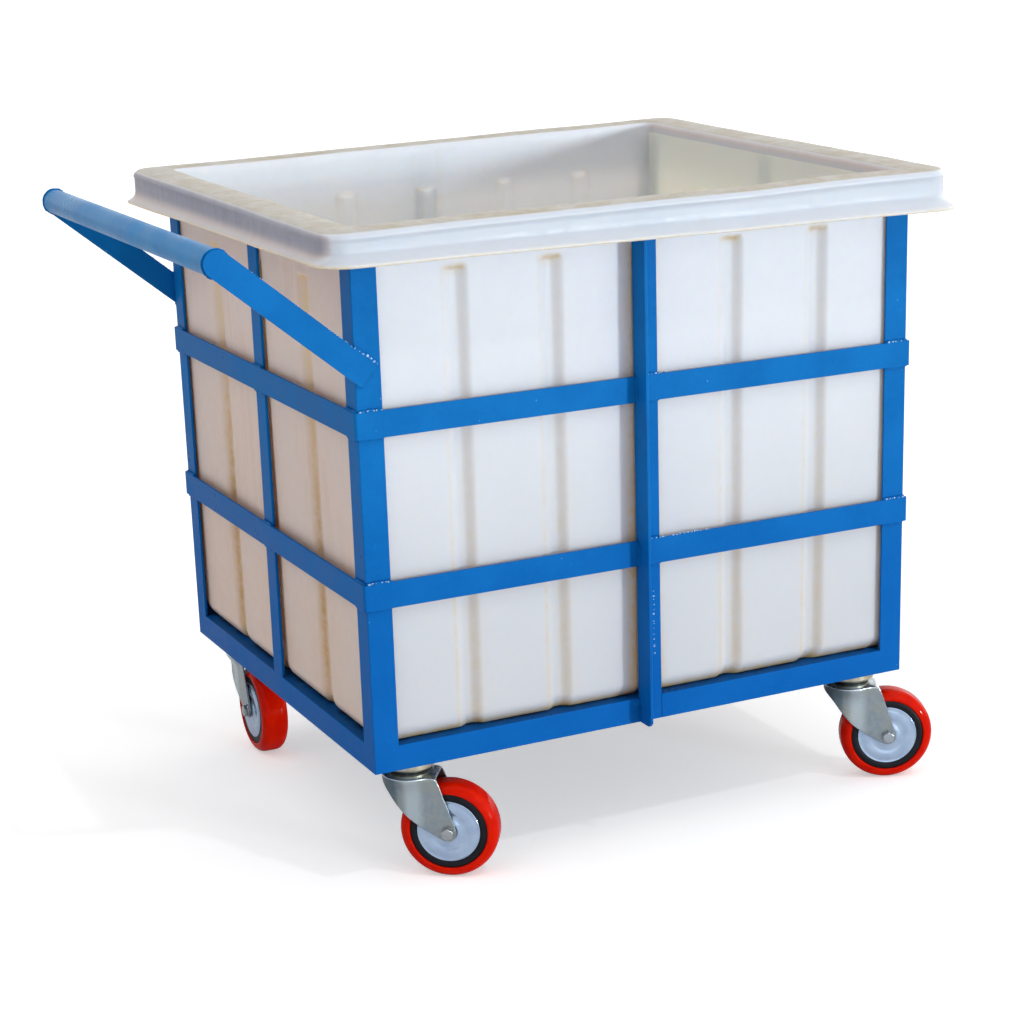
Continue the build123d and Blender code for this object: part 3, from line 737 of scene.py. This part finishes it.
def tub_point(station, ring):
    """Point of the skin at a station of a ring, with the flutes, the tilts and a slight waviness."""
    side, along, turn = station
    (half_length, half_width, rounding), height, cap_shift, flute, tilt = ring
    ahead = Vector([(1, 0, 0), (0, 1, 0), (-1, 0, 0), (0, -1, 0)][side])
    out = Vector((ahead.y, -ahead.x, 0))
    run, reach = (half_length, half_width) if side % 2 == 0 else (half_width, half_length)
    full = wall_size(RIM_TOP, 0)[side % 2] - WALL_ROUND
    point = ahead * (along * (run - rounding) / full) + out * (reach - rounding)
    point += (out * cos(turn) + ahead * sin(turn)) * rounding
    wave = noise.noise(Vector((along * 5 + side * 9, height * 4, turn))) * WALL_WAVE
    if cap_shift is not None and turn == 0:
        share = smooth((flutes(side)[2] + cap_shift - height) / FLUTE_CAP) * flute
        wave -= FLUTE_DEPTH * flute_share(side, along) * share
    point += out * wave
    lip = max(0.0, 1.0 - tilt) if cap_shift is None and height > WARP_START else 0.0
    rise = tilt * (TOP_TILT[0] * point.x + TOP_TILT[1] * point.y + TOP_TWIST * point.x * point.y)
    rise += lip * (LIP_TILT[0] * point.x + LIP_TILT[1] * point.y)
    if height > WARP_START:
        rise += noise.noise(Vector((point.x * 6, point.y * 6, 3.0))) * RIM_WAVE
    return point + Vector((MIDDLE_X, 0, height + rise))


def lift(shell, ring, closed=True):
    """Extrudes a ring or an open row of edges and returns the new row in the same order."""
    edges = [shell.edges.get(pair) for pair in zip(ring, ring[1:] + (ring[:1] if closed else []))]
    made = set(bmesh.ops.extrude_edge_only(shell, edges=edges)["geom"])
    return [next(e.other_vert(v) for e in v.link_edges if e.other_vert(v) in made) for v in ring]


def next_ring(shell, ring, sides):
    """First ring of a skin, or the next one lifted from the last."""
    if ring:
        return lift(shell, ring)
    return bmesh.ops.create_circle(shell, radius=1.0, segments=sides)["verts"]


def streak(distance, spread):
    """Share of a stain at a distance from its middle."""
    return exp(-(distance / spread) ** 2)


def end_stain(along, offset, cap, below, lower):
    """Stains of an end: flutes' upper ends and slopes, a faint band round them, the mid post's edges."""
    share = 0.5 * cap + (0.6 + 0.25 * lower) * streak(abs(offset) - 0.010, 0.0065) * below
    return share + 0.14 * streak(offset, 0.045) * below + 0.12 * streak(abs(along) - 0.024, 0.005)


def side_stain_and_shade(along, offset, cap, below, lower, height):
    """Stains of a long side: flutes' upper ends, a line down them, a soft band down their right slopes that
    is painted shade, the mid post's edges.
    """
    share = 0.7 * cap
    share += (0.2 + 0.35 * lower) * streak(offset + SIDE_FLUTE_HALF * 0.95, 0.0026) * below
    # Painted shade: a soft beige band down each flute's right slope.
    share += (0.10 + 0.22 * lower) * streak(offset - SIDE_FLUTE_HALF * 0.55, 0.010) * below
    share += (0.3 + 0.6 * lower) * streak(along + 0.0245, 0.0032) + 0.3 * streak(along - 0.0225, 0.0026)
    return share + 0.35 * streak(along - 0.026, 0.005) * (1 - smooth((height - FOOT) / 0.16))


def stain_and_shade_share(station, ring):
    """Share of yellow stain, with some painted shade on the flutes' slopes, at a point of the skin: on the
    lip, along the foot, by the flutes and posts.
    """
    side, along, turn = station
    height, cap_shift = ring[1], ring[2]
    if cap_shift is None:
        return (0.9 if side % 2 else 0.6) * streak(height - LIP_HEIGHT, 0.003)
    share = 1 - smooth((height - FOOT) / 0.016)
    if turn:
        return share
    centres, width, top = flutes(side)
    top += cap_shift
    offset = along - min(centres, key=lambda centre: abs(along - centre))
    below = smooth((top - height) / 0.004)
    lower = 1 - smooth((height - FOOT) / 0.6)
    cap = streak(height - top + 0.006, 0.005) * (1 - smooth((abs(offset) - width * 0.6) / (width * 0.4)))
    if side % 2:
        share += end_stain(along, offset, cap, below, lower)
    else:
        share += side_stain_and_shade(along, offset, cap, below, lower, height)
    return share if cap_shift == 0 else 0.4 * share


def close_end(shell, ring):
    """Fills a ring with one face."""
    edges = [shell.edges.get(pair) for pair in zip(ring, ring[1:] + ring[:1])]
    bmesh.ops.contextual_create(shell, geom=edges)


def make_tub():
    """White tub: fluted walls and a rolled, slightly warped rim, as one closed skin."""
    shell = bmesh.new()
    stain_and_shade = shell.verts.layers.float.new("stain_and_shade")
    yellowing_and_glow = shell.verts.layers.float.new("yellowing_and_glow")
    stations = tub_stations()
    ring = []
    for level in tub_rings():
        first = not ring
        ring = next_ring(shell, ring, len(stations))
        for corner, station in zip(ring, stations):
            corner.co = tub_point(station, level)
            corner[stain_and_shade] = stain_and_shade_share(station, level)
            # Outside: yellowing with a painted warm glow on the ends; inside: nought.
            outside = LEFT_END_YELLOWING_AND_GLOW if station[0] == LEFT_END else OTHER_YELLOWING_AND_GLOW
            corner[yellowing_and_glow] = 0.0 if level[2] else outside
        if first:
            close_end(shell, ring)
    close_end(shell, ring)
    bmesh.ops.recalc_face_normals(shell, faces=shell.faces)
    finish_piece("tub_skin", shell, "frame", PLASTIC, ["tub"])


# Steel

def weld_bead(shell, path, half=WELD, closed=False):
    """Lumpy bead along a path of points, about two millimetres apart."""
    ring = []
    for index, centre in enumerate(path):
        ahead = (path[min(index + 1, len(path) - 1)] - path[max(index - 1, 0)]).normalized()
        side = ahead.orthogonal().normalized()
        up = ahead.cross(side)
        lump = half * (1 + 0.55 * noise.noise(centre * 190))
        if not closed:
            lump *= 0.5 + 0.5 * smooth(min(index, len(path) - 1 - index) / 2)
        first = not ring
        ring = next_ring(shell, ring, BEAD_SIDES)
        for corner, (x, y) in zip(ring, arc((0, 0), lump, 0, 360 - 360 / BEAD_SIDES, BEAD_SIDES - 1)):
            corner.co = centre + side * x + up * y
        if first and not closed:
            close_end(shell, ring)
    if not closed:
        close_end(shell, ring)


def line(start, end, step=0.0022):
    """Points from start to end."""
    start, end = Vector(start), Vector(end)
    count = max(int((end - start).length / step), 4)
    return [start.lerp(end, index / count) for index in range(count + 1)]


def rail_welds(shell, level):
    """Beads over and under the rails at every post they cross, and down the mid posts' outward legs."""
    low, high = (corner.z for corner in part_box(level + "_rail_front"))
    for side in (-1, 1):
        across = side * (HALF_WIDTH + WELD_OUT)
        along = MIDDLE_X + side * (HALF_LENGTH + WELD_OUT)
        for height in (low - WELD_OVER, high + WELD_OVER):
            for start in (-HALF_LENGTH, -BAR / 2, HALF_LENGTH - BAR):
                start += MIDDLE_X
                weld_bead(shell, line((start, across, height), (start + BAR, across, height)))
            for start in (-HALF_WIDTH, -BAR / 2, HALF_WIDTH - BAR):
                weld_bead(shell, line((along, start, height), (along, start + BAR, height)))
        edge = side * (HALF_WIDTH + STEEL + THIN_OUT)
        for offset in (-THIN_OUT, STEEL + THIN_OUT):
            place = MIDDLE_X - BAR / 2 + offset
            weld_bead(shell, line((place, edge, low + 0.001), (place, edge, high - 0.001)), THIN_WELD)


def arm_foot():
    """Middle of the push arms' square foot, the way up the arm, and across it to its upper edge."""
    foot = Vector((MIDDLE_X - HALF_LENGTH + BAR / 2, 0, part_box("upper_rail_front")[1].z + ARM_FOOT_GAP))
    foot.z += BAR / 2 * cos(ARM_ANGLE)
    up_arm = Vector((-cos(ARM_ANGLE), 0, sin(ARM_ANGLE)))
    across = Vector((sin(ARM_ANGLE), 0, cos(ARM_ANGLE)))
    return foot, up_arm, across * BAR / 2


def arm_welds(shell):
    """Beads round the square foot of each push arm, and round the tube's ends."""
    foot, up_arm, over = arm_foot()
    over *= 1.04
    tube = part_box("handle_tube")
    middle = (tube[0] + tube[1]) / 2
    for side in (-1, 1):
        face = Vector((0, side * (HALF_WIDTH + WELD_OUT), 0))
        upper, lower = foot + over + face, foot - over + face
        weld_bead(shell, line(upper, upper + up_arm * ARM_WELD_UPPER), ARM_WELD)
        weld_bead(shell, line(lower, lower + up_arm * ARM_WELD_LOWER), ARM_WELD)
        weld_bead(shell, line(lower - up_arm * 0.001, upper - up_arm * 0.001))
        end = Vector((middle.x, side * (HALF_WIDTH - THIN_OUT), middle.z))
        turns = arc((0, 0), TUBE_RADIUS + THIN_OUT, 0, 360, 60)
        weld_bead(shell, [end + Vector((x, 0, z)) for x, z in turns], THIN_WELD, True)


def make_welds():
    shell = bmesh.new()
    for level in ("lower", "upper"):
        rail_welds(shell, level)
    arm_welds(shell)
    bmesh.ops.remove_doubles(shell, verts=shell.verts, dist=1e-6)
    bmesh.ops.recalc_face_normals(shell, faces=shell.faces)
    finish_piece("weld_beads", shell, "frame", ENAMEL)


def make_spatter():
    """Droplets of weld spatter, their paint worn off, with pale flecks that are partly painted glints:
    along the welds and in a row down each mid post.
    """
    shell = bmesh.new()
    draw = Random(7)
    drops = []

    def row(start, end, step, stray, large):
        start, end = Vector(start), Vector(end)
        count = max(int((end - start).length / step), 2)
        for index in range(count + 1):
            size = draw.uniform(0.5, 1.0) * large
            shift = Vector((draw.uniform(-stray, stray), 0, draw.uniform(-stray, stray)))
            share = (index + draw.uniform(-0.4, 0.4)) / count
            drops.append((start.lerp(end, min(max(share, 0), 1)) + shift, size))

    foot, up_arm, over = arm_foot()
    for side in (-1, 1):
        face = side * HALF_WIDTH
        outer = Vector((0, side * (HALF_WIDTH + STEEL), 0))
        row((SPATTER_X, face, SPATTER_TOP), (SPATTER_X, face, SPATTER_END), 0.0075, 0.0008, 0.0016)
        edge = foot + over + outer * 1.003
        seam = edge - outer * 0.008 + over * 0.06
        row(seam, seam + up_arm * 0.042, 0.0048, 0.0008, 0.0028)
        row(edge + up_arm * 0.03, edge + up_arm * 0.09, 0.006, 0.0004, 0.0012)
        row(edge + up_arm * 0.09, edge + up_arm * 0.25, 0.009, 0.0004, 0.0009)
        for level, run in (("lower", 0.115), ("upper", 0.045)):
            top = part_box(level + "_rail_front")[1].z + 0.0008
            bead = side * (HALF_WIDTH + 0.0035)
            for start, length in ((-HALF_LENGTH, 0.034), (-0.013, run), (HALF_LENGTH - BAR, 0.034)):
                place = MIDDLE_X + start + 0.003
                row((place, bead, top), (place + length, bead, top), 0.0062, 0.0006, 0.0022)
    for place, size in drops:
        shape = Matrix.Diagonal((size * draw.uniform(0.9, 1.5), size * 0.8, size, 1.0))
        shape = Matrix.Translation(place) @ shape
        bmesh.ops.create_icosphere(shell, subdivisions=2, radius=1.0, matrix=shape)
    finish_piece("weld_spatter", shell, "frame", WELD_ENAMEL)


def make_tube():
    """Push tube between the arms, not quite even."""
    low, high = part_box("handle_tube")
    middle = (low + high) / 2
    shell = bmesh.new()
    ring = []
    for place in line((middle.x, low.y, middle.z), (middle.x, high.y, middle.z), 0.02):
        first = not ring
        ring = next_ring(shell, ring, TUBE_SIDES)
        turns = arc((0, 0), TUBE_RADIUS, 0, 360 - 360 / TUBE_SIDES, TUBE_SIDES - 1)
        for corner, (x, z) in zip(ring, turns):
            dent = 1 + 0.012 * noise.noise(Vector((x * 30, place.y * 9, z * 30)))
            corner.co = place + Vector((x, 0, z)) * min(dent, 1.0)
        if first:
            close_end(shell, ring)
    close_end(shell, ring)
    bmesh.ops.recalc_face_normals(shell, faces=shell.faces)
    piece = finish_piece("push_tube", shell, "frame", TUBE_ENAMEL, ["handle_tube"])
    piece.data.set_sharp_from_angle(angle=radians(60))


# Casters

def caster_frame(corner):
    """Matrix from a caster's own axes, X along its trail and Y along its axle, to the frame."""
    pin = JOINTS["caster_turn_" + corner]["pos_m"]
    across = Vector(JOINTS["wheel_roll_" + corner]["axis"])
    back = across.cross(Vector((0, 0, 1)))
    turn = Matrix((back, across, (0, 0, 1))).transposed().to_4x4()
    return Matrix.Translation((pin[0], pin[1], 0)) @ turn


def spun(outlines):
    """Round wheel piece on a caster's own axes, from closed outlines of radius and place along the axle."""
    wheel = bmesh.new()
    for outline in outlines:
        points = [wheel.verts.new((TRAIL + radius, place, AXLE_HEIGHT)) for radius, place in outline]
        for pair in zip(points, points[1:] + points[:1]):
            wheel.edges.new(pair)
    bmesh.ops.spin(wheel, geom=wheel.verts[:] + wheel.edges[:], cent=(TRAIL, 0, AXLE_HEIGHT),
                   axis=(0, 1, 0), angle=2 * pi, steps=WHEEL_STEPS, use_merge=True)
    bmesh.ops.remove_doubles(wheel, verts=wheel.verts, dist=1e-6)
    bmesh.ops.recalc_face_normals(wheel, faces=wheel.faces)
    return wheel


def both_ways(half):
    """Closed outline from its half on the +Y side."""
    return half + [(radius, -place) for radius, place in reversed(half)]


def tyre_outline():
    low = AXLE_HEIGHT - TYRE_SHOULDER
    crown = TYRE_HALF - TYRE_SHOULDER
    half = [(CORE_RADIUS, CORE_HALF - 0.004), (CORE_RADIUS, CORE_HALF)]
    half += arc((low, crown), TYRE_SHOULDER, 90, 0, 12)
    return both_ways(half + [(AXLE_HEIGHT, 0.0)])[:-1]


def core_outline():
    """Hub, middle plate and the ring that shows between tyre and disc."""
    seat = DISC_RADIUS - 0.0045
    half = [(0.0098, HUB_HALF), (HUB_RADIUS - 0.0005, HUB_HALF), (HUB_RADIUS, HUB_HALF - 0.0006),
            (HUB_RADIUS, PLATE_HALF), (seat, PLATE_HALF), (seat, RING_HALF - 0.003),
            (seat + 0.003, RING_HALF - 0.003), (DISC_RADIUS + 0.0008, RING_HALF - 0.0006),
            (DISC_RADIUS + 0.0016, RING_HALF), (CORE_RADIUS - 0.001, RING_HALF),
            (CORE_RADIUS - 0.0001, RING_HALF - 0.001)]
    return both_ways(half)


def disc_outline(side):
    """Thin pressed disc: rolled edge, bulging band, a flat middle set in by a soft step, and a low boss."""
    outer = [(SLEEVE_RADIUS + 0.0010, HUB_HALF + 0.0006), (0.0172, HUB_HALF + 0.0004)]
    band = ((0.0205, 0.0014), (DISC_STEP - 0.0030, 0.0004), (DISC_STEP, 0.0009),
            (DISC_STEP + 0.0034, 0.0021), (DISC_RADIUS - 0.0115, 0.0023),
            (DISC_RADIUS - 0.0065, 0.0016), (DISC_RADIUS - 0.0023, 0.0004))
    outer += [(radius, RING_HALF + rise) for radius, rise in band]
    inner = [(radius, place - DISC_SHEET) for radius, place in reversed(outer)]
    outer += arc((DISC_RADIUS - DISC_ROLL, RING_HALF + 0.0002), DISC_ROLL, 110, -60, 5)
    return [(radius, side * place) for radius, place in outer + inner]


def hexagon(shell, start, end):
    """Six-sided head or nut on the axle, its corners turned down at the outer end."""
    turn = Matrix.Translation((TRAIL, start, AXLE_HEIGHT)) @ Matrix.Rotation(pi / 2, 4, "X")
    radius = AXLE_FLATS / 2 / cos(pi / 6)
    ring = bmesh.ops.create_circle(shell, cap_ends=True, radius=radius, segments=6, matrix=turn)["verts"]
    face = ring[0].link_faces[0]
    top = bmesh.ops.extrude_face_region(shell, geom=[face], use_keep_orig=True)["geom"]
    points = [item for item in top if isinstance(item, bmesh.types.BMVert)]
    bmesh.ops.translate(shell, vec=(0, end - start, 0), verts=points)
    faces = [item for item in top if isinstance(item, bmesh.types.BMFace)]
    rim = faces[0].edges[:]
    bmesh.ops.bevel(shell, geom=rim, offset=HEX_TURN, segments=3, profile=0.5, affect="EDGES", material=-1)


def make_axle(corner):
    """Axle bolt with sleeve, washers, six-sided head and nut, and a short end of thread."""
    end = LEG_OUT + AXLE_NUT - 0.001
    over = LEG_OUT + AXLE_WASHER
    sleeve = LEG_OUT - FORK_SHEET
    bolt = [(AXLE_MIDDLE, -LEG_OUT), (SLEEVE_RADIUS, -sleeve), (SLEEVE_RADIUS, sleeve),
            (AXLE_RADIUS, LEG_OUT)]
    bolt += [(AXLE_RADIUS - THREAD_DEPTH * (index % 2), over + THREAD_STEP * index) for index in range(10)]
    bolt += [(AXLE_RADIUS - 0.001, end), (AXLE_MIDDLE, end)]
    washer = [(AXLE_RADIUS, LEG_OUT), (0.0112, LEG_OUT), (0.0116, LEG_OUT + 0.0005),
              (0.0112, over), (AXLE_RADIUS, over)]
    washers = [[(radius, side * place) for radius, place in washer] for side in (-1, 1)]
    shell = spun([bolt] + washers)
    hexagon(shell, -over, -LEG_OUT - AXLE_HEAD)
    hexagon(shell, over, LEG_OUT + AXLE_NUT - 0.0035)
    bmesh.ops.recalc_face_normals(shell, faces=shell.faces)
    bmesh.ops.transform(shell, matrix=caster_frame(corner), verts=shell.verts)
    body = "swivel_" + corner
    piece = finish_piece("axle_bolt_" + corner, shell, body, BRIGHT_ZINC, ["axle_" + corner])
    piece.data.set_sharp_from_angle(angle=radians(35))


def fork_lower(along):
    """Height of a leg's lower and front edge at a distance behind the kingpin."""
    for first, last in zip(FORK_FRONT, FORK_FRONT[1:]):
        if first[0] <= along <= last[0]:
            return AXLE_HEIGHT + first[1] + (last[1] - first[1]) * (along - first[0]) / (last[0] - first[0])
    return AXLE_HEIGHT - max(FORK_TIP ** 2 - (along - TRAIL) ** 2, 0.0) ** 0.5


def fork_upper(along):
    """Height of its upper edge: under the head, then down the back edge to the round tip."""
    if along <= FORK_BACK:
        return FORK_EDGE
    touch = (TRAIL + FORK_TIP * cos(TIP_TOUCH), AXLE_HEIGHT + FORK_TIP * sin(TIP_TOUCH))
    if along < touch[0]:
        return FORK_EDGE + (touch[1] - FORK_EDGE) * (along - FORK_BACK) / (touch[0] - FORK_BACK)
    return AXLE_HEIGHT + max(FORK_TIP ** 2 - (along - TRAIL) ** 2, 0.0) ** 0.5


def fork_plan():
    """Places of one leg from its tip to the head, then round the front to the other leg's."""
    tip = TRAIL + FORK_TIP
    behind = [tip - (tip - FORK_BACK) * (1 - cos(pi / 2 * index / 9)) for index in range(9)]
    beside = [FORK_BACK + (-FORK_BEND - FORK_BACK) * index / 8 for index in range(8)]
    leg = [Vector((along, LEG_OUT)) for along in behind], [Vector((along, LEG_OUT)) for along in beside]
    front = [Vector((-FORK_BEND + x, y)) for x, y in arc((0, 0), LEG_OUT, 90, 270, 14)]
    mirrored = [[Vector((point.x, -point.y)) for point in reversed(row)] for row in leg]
    return leg[0], leg[1] + front + mirrored[1], mirrored[0]


def fork_fold(point):
    """Where the sheet over a place of the plan folds into the round head."""
    return point * max(HEAD_RADIUS / point.length, 1.0)


def make_fork(corner):
    """Pressed fork: domed head, round front and two legs, one sheet with its real thickness."""
    shell = bmesh.new()
    bend_layer = shell.verts.layers.float.new("bend")
    fold_layer = shell.verts.layers.float.new("fold")
    tip, under_head, other_tip = fork_plan()
    across = [Vector((FORK_BACK, LEG_OUT * (index - 3) / 3)) for index in range(1, 6)]
    loop = under_head + across
    ring = []
    for radius in HEAD_RINGS:
        ring = next_ring(shell, ring, len(loop))
        fall = max((radius - CROWN_RADIUS) / (HEAD_RADIUS - CROWN_RADIUS), 0.0) ** HEAD_CURVE
        for corner_point, place in zip(ring, loop):
            flat = fork_fold(place).normalized() * radius
            corner_point.co = (*flat, FORK_EDGE + HEAD_RISE * (1 - fall))
    ring = lift(shell, ring)
    for corner_point, place in zip(ring, loop):
        corner_point.co = (*fork_fold(place), FORK_EDGE)
    row = ring[:len(under_head)]
    for places, at_start in ((tip[::-1], True), (other_tip, False)):
        for place in places:
            end = shell.verts.new((*place, fork_upper(place.x)))
            shell.edges.new((row[0 if at_start else -1], end))
            row = [end] + row if at_start else row + [end]
    plan = tip + under_head + other_tip
    for share in LEG_LEVELS:
        row = lift(shell, row, closed=False)
        for corner_point, place in zip(row, plan):
            top, low = fork_upper(place.x), fork_lower(place.x)
            height = top + (low - top) * share
            bend = smooth((FORK_EDGE - height) / FORK_BLEND)
            corner_point.co = (*fork_fold(place).lerp(place, bend), height)
    bmesh.ops.remove_doubles(shell, verts=shell.verts, dist=1e-5)
    # Layers for the zinc finish: distance from the round front, which places its painted dark reflection
    # and painted highlight band, and the fold line, which places a painted highlight.
    for point in shell.verts:
        point[bend_layer] = -(point.co.x + FORK_BEND) / (0.1 if point.co.x > -FORK_BEND else LEG_OUT)
        point[fold_layer] = float(abs(point.co.z - FORK_EDGE) < 0.0005 and point.co.x < FORK_BACK + 0.001)
    bmesh.ops.recalc_face_normals(shell, faces=shell.faces)
    shell.faces.ensure_lookup_table()
    if shell.faces[0].normal.z < 0:
        bmesh.ops.reverse_faces(shell, faces=shell.faces)
    bmesh.ops.transform(shell, matrix=caster_frame(corner), verts=shell.verts)
    body = "swivel_" + corner
    piece = finish_piece("fork_sheet_" + corner, shell, body, ZINC, ["fork_" + corner])
    wall = piece.modifiers.new("sheet", "SOLIDIFY")
    wall.thickness = FORK_SHEET
    wall.offset = -1.0
    wall.use_even_offset = True
    soft = piece.modifiers.new("soft", "SUBSURF")
    soft.levels = soft.render_levels = 1


def make_caster(corner):
    wheel = "wheel_" + corner
    pieces = (("tread_", [tyre_outline()], RED, "red_rubber", "tyre_"),
              ("wheel_ring_", [core_outline()], BLACK, "black_plastic", "core_"),
              ("wheel_discs_", [disc_outline(1), disc_outline(-1)], GREY, "grey_plastic", "covers_"))
    for name, outlines, finish, slot, solid in pieces:
        shell = spun(outlines)
        bmesh.ops.transform(shell, matrix=caster_frame(corner), verts=shell.verts)
        finish_piece(name + corner, shell, wheel, finish, [solid + corner])
    make_fork(corner)
    make_axle(corner)


# Studio

def seen_rays(graph):
    """One for rays straight to the camera, and one for rays seen in gloss."""
    light = graph.put("ShaderNodeLightPath", {})
    return light.outputs["Is Camera Ray"], light.outputs["Is Glossy Ray"]


def make_floor():
    mesh = bpy.data.meshes.new("floor")
    plane = bmesh.new()
    bmesh.ops.create_grid(plane, x_segments=1, y_segments=1, size=FLOOR_SIZE)
    plane.to_mesh(mesh)
    plane.free()
    floor = bpy.data.objects.new("floor", mesh)
    bpy.context.scene.collection.objects.link(floor)
    made, graph, shader = new_material("pale_floor")
    graph.feed(shader, {"Base Color": (0.85, 0.85, 0.85, 1), "Roughness": 0.9, "Specular IOR Level": 0.1})
    glow = graph.share(seen_rays(graph)[0], FLOOR_GLOW)
    graph.feed(shader, {"Emission Color": (1, 1, 1, 1), "Emission Strength": glow})
    mesh.materials.append(made)


def sun(name, energy, angle, tint, turn):
    lamp = bpy.data.lights.new(name, "SUN")
    lamp.energy = energy
    lamp.angle = radians(angle)
    lamp.color = tint
    placed = bpy.data.objects.new(name, lamp)
    bpy.context.scene.collection.objects.link(placed)
    placed.rotation_euler = [radians(value) for value in turn]


def make_lights():
    """Pale room, a broad light in front, a low key, soft suns on three sides and a small crisp one."""
    world = bpy.data.worlds.new("studio")
    bpy.context.scene.world = world
    world.use_nodes = True
    graph = Graph(world.node_tree)
    back = world.node_tree.nodes["Background"]
    way = graph.put("ShaderNodeTexCoord", {}).outputs["Generated"]
    to_camera, in_gloss = seen_rays(graph)
    low = graph.rise(graph.axis(way, "Z"), 0.25, 0.6, 1.0, 0.1)
    to_right = graph.rise(graph.axis(way, "X"), -0.95, -0.2, 0.0, 1.1)
    walls = graph.share(low, to_right)
    seen = graph.math("ADD", graph.share(to_camera, ROOM_SEEN), graph.share(in_gloss, walls))
    graph.feed(back, {"Color": (0.97, 0.98, 1.0, 1), "Strength": graph.math("ADD", ROOM_LIGHT, seen)})
    front = bpy.data.lights.new("front", "AREA")
    front.shape = "RECTANGLE"
    front.size = 3.0
    front.size_y = 1.6
    front.energy = FRONT_LIGHT
    front.color = (0.88, 0.95, 1.0)
    lamp = bpy.data.objects.new("front", front)
    bpy.context.scene.collection.objects.link(lamp)
    lamp.location = FRONT_PLACE
    lamp.rotation_euler = (Vector((0, 0, 0.75)) - lamp.location).to_track_quat("-Z", "Y").to_euler()
    for name, values in SUNS.items():
        sun(name, *values)


def make_camera():
    lens = bpy.data.cameras.new("camera")
    lens.lens = CAMERA_LENS
    lens.sensor_width = CAMERA_SENSOR
    lens.shift_y = CAMERA_SHIFT
    camera = bpy.data.objects.new("camera", lens)
    bpy.context.scene.collection.objects.link(camera)
    turn = Matrix.Rotation(CAMERA_YAW, 4, "Z") @ Matrix.Rotation(CAMERA_PITCH, 4, "X")
    turn = turn @ Matrix.Rotation(CAMERA_ROLL, 4, "Y") @ Matrix.Rotation(pi / 2, 4, "X")
    camera.matrix_world = Matrix.Translation(CAMERA_PLACE) @ turn
    bpy.context.scene.camera = camera


dress_solids()
make_tub()
make_tube()
make_welds()
make_spatter()
for name in CORNERS:
    make_caster(name)
make_floor()
make_lights()
make_camera()
bpy.context.scene.view_settings.view_transform = "Standard"
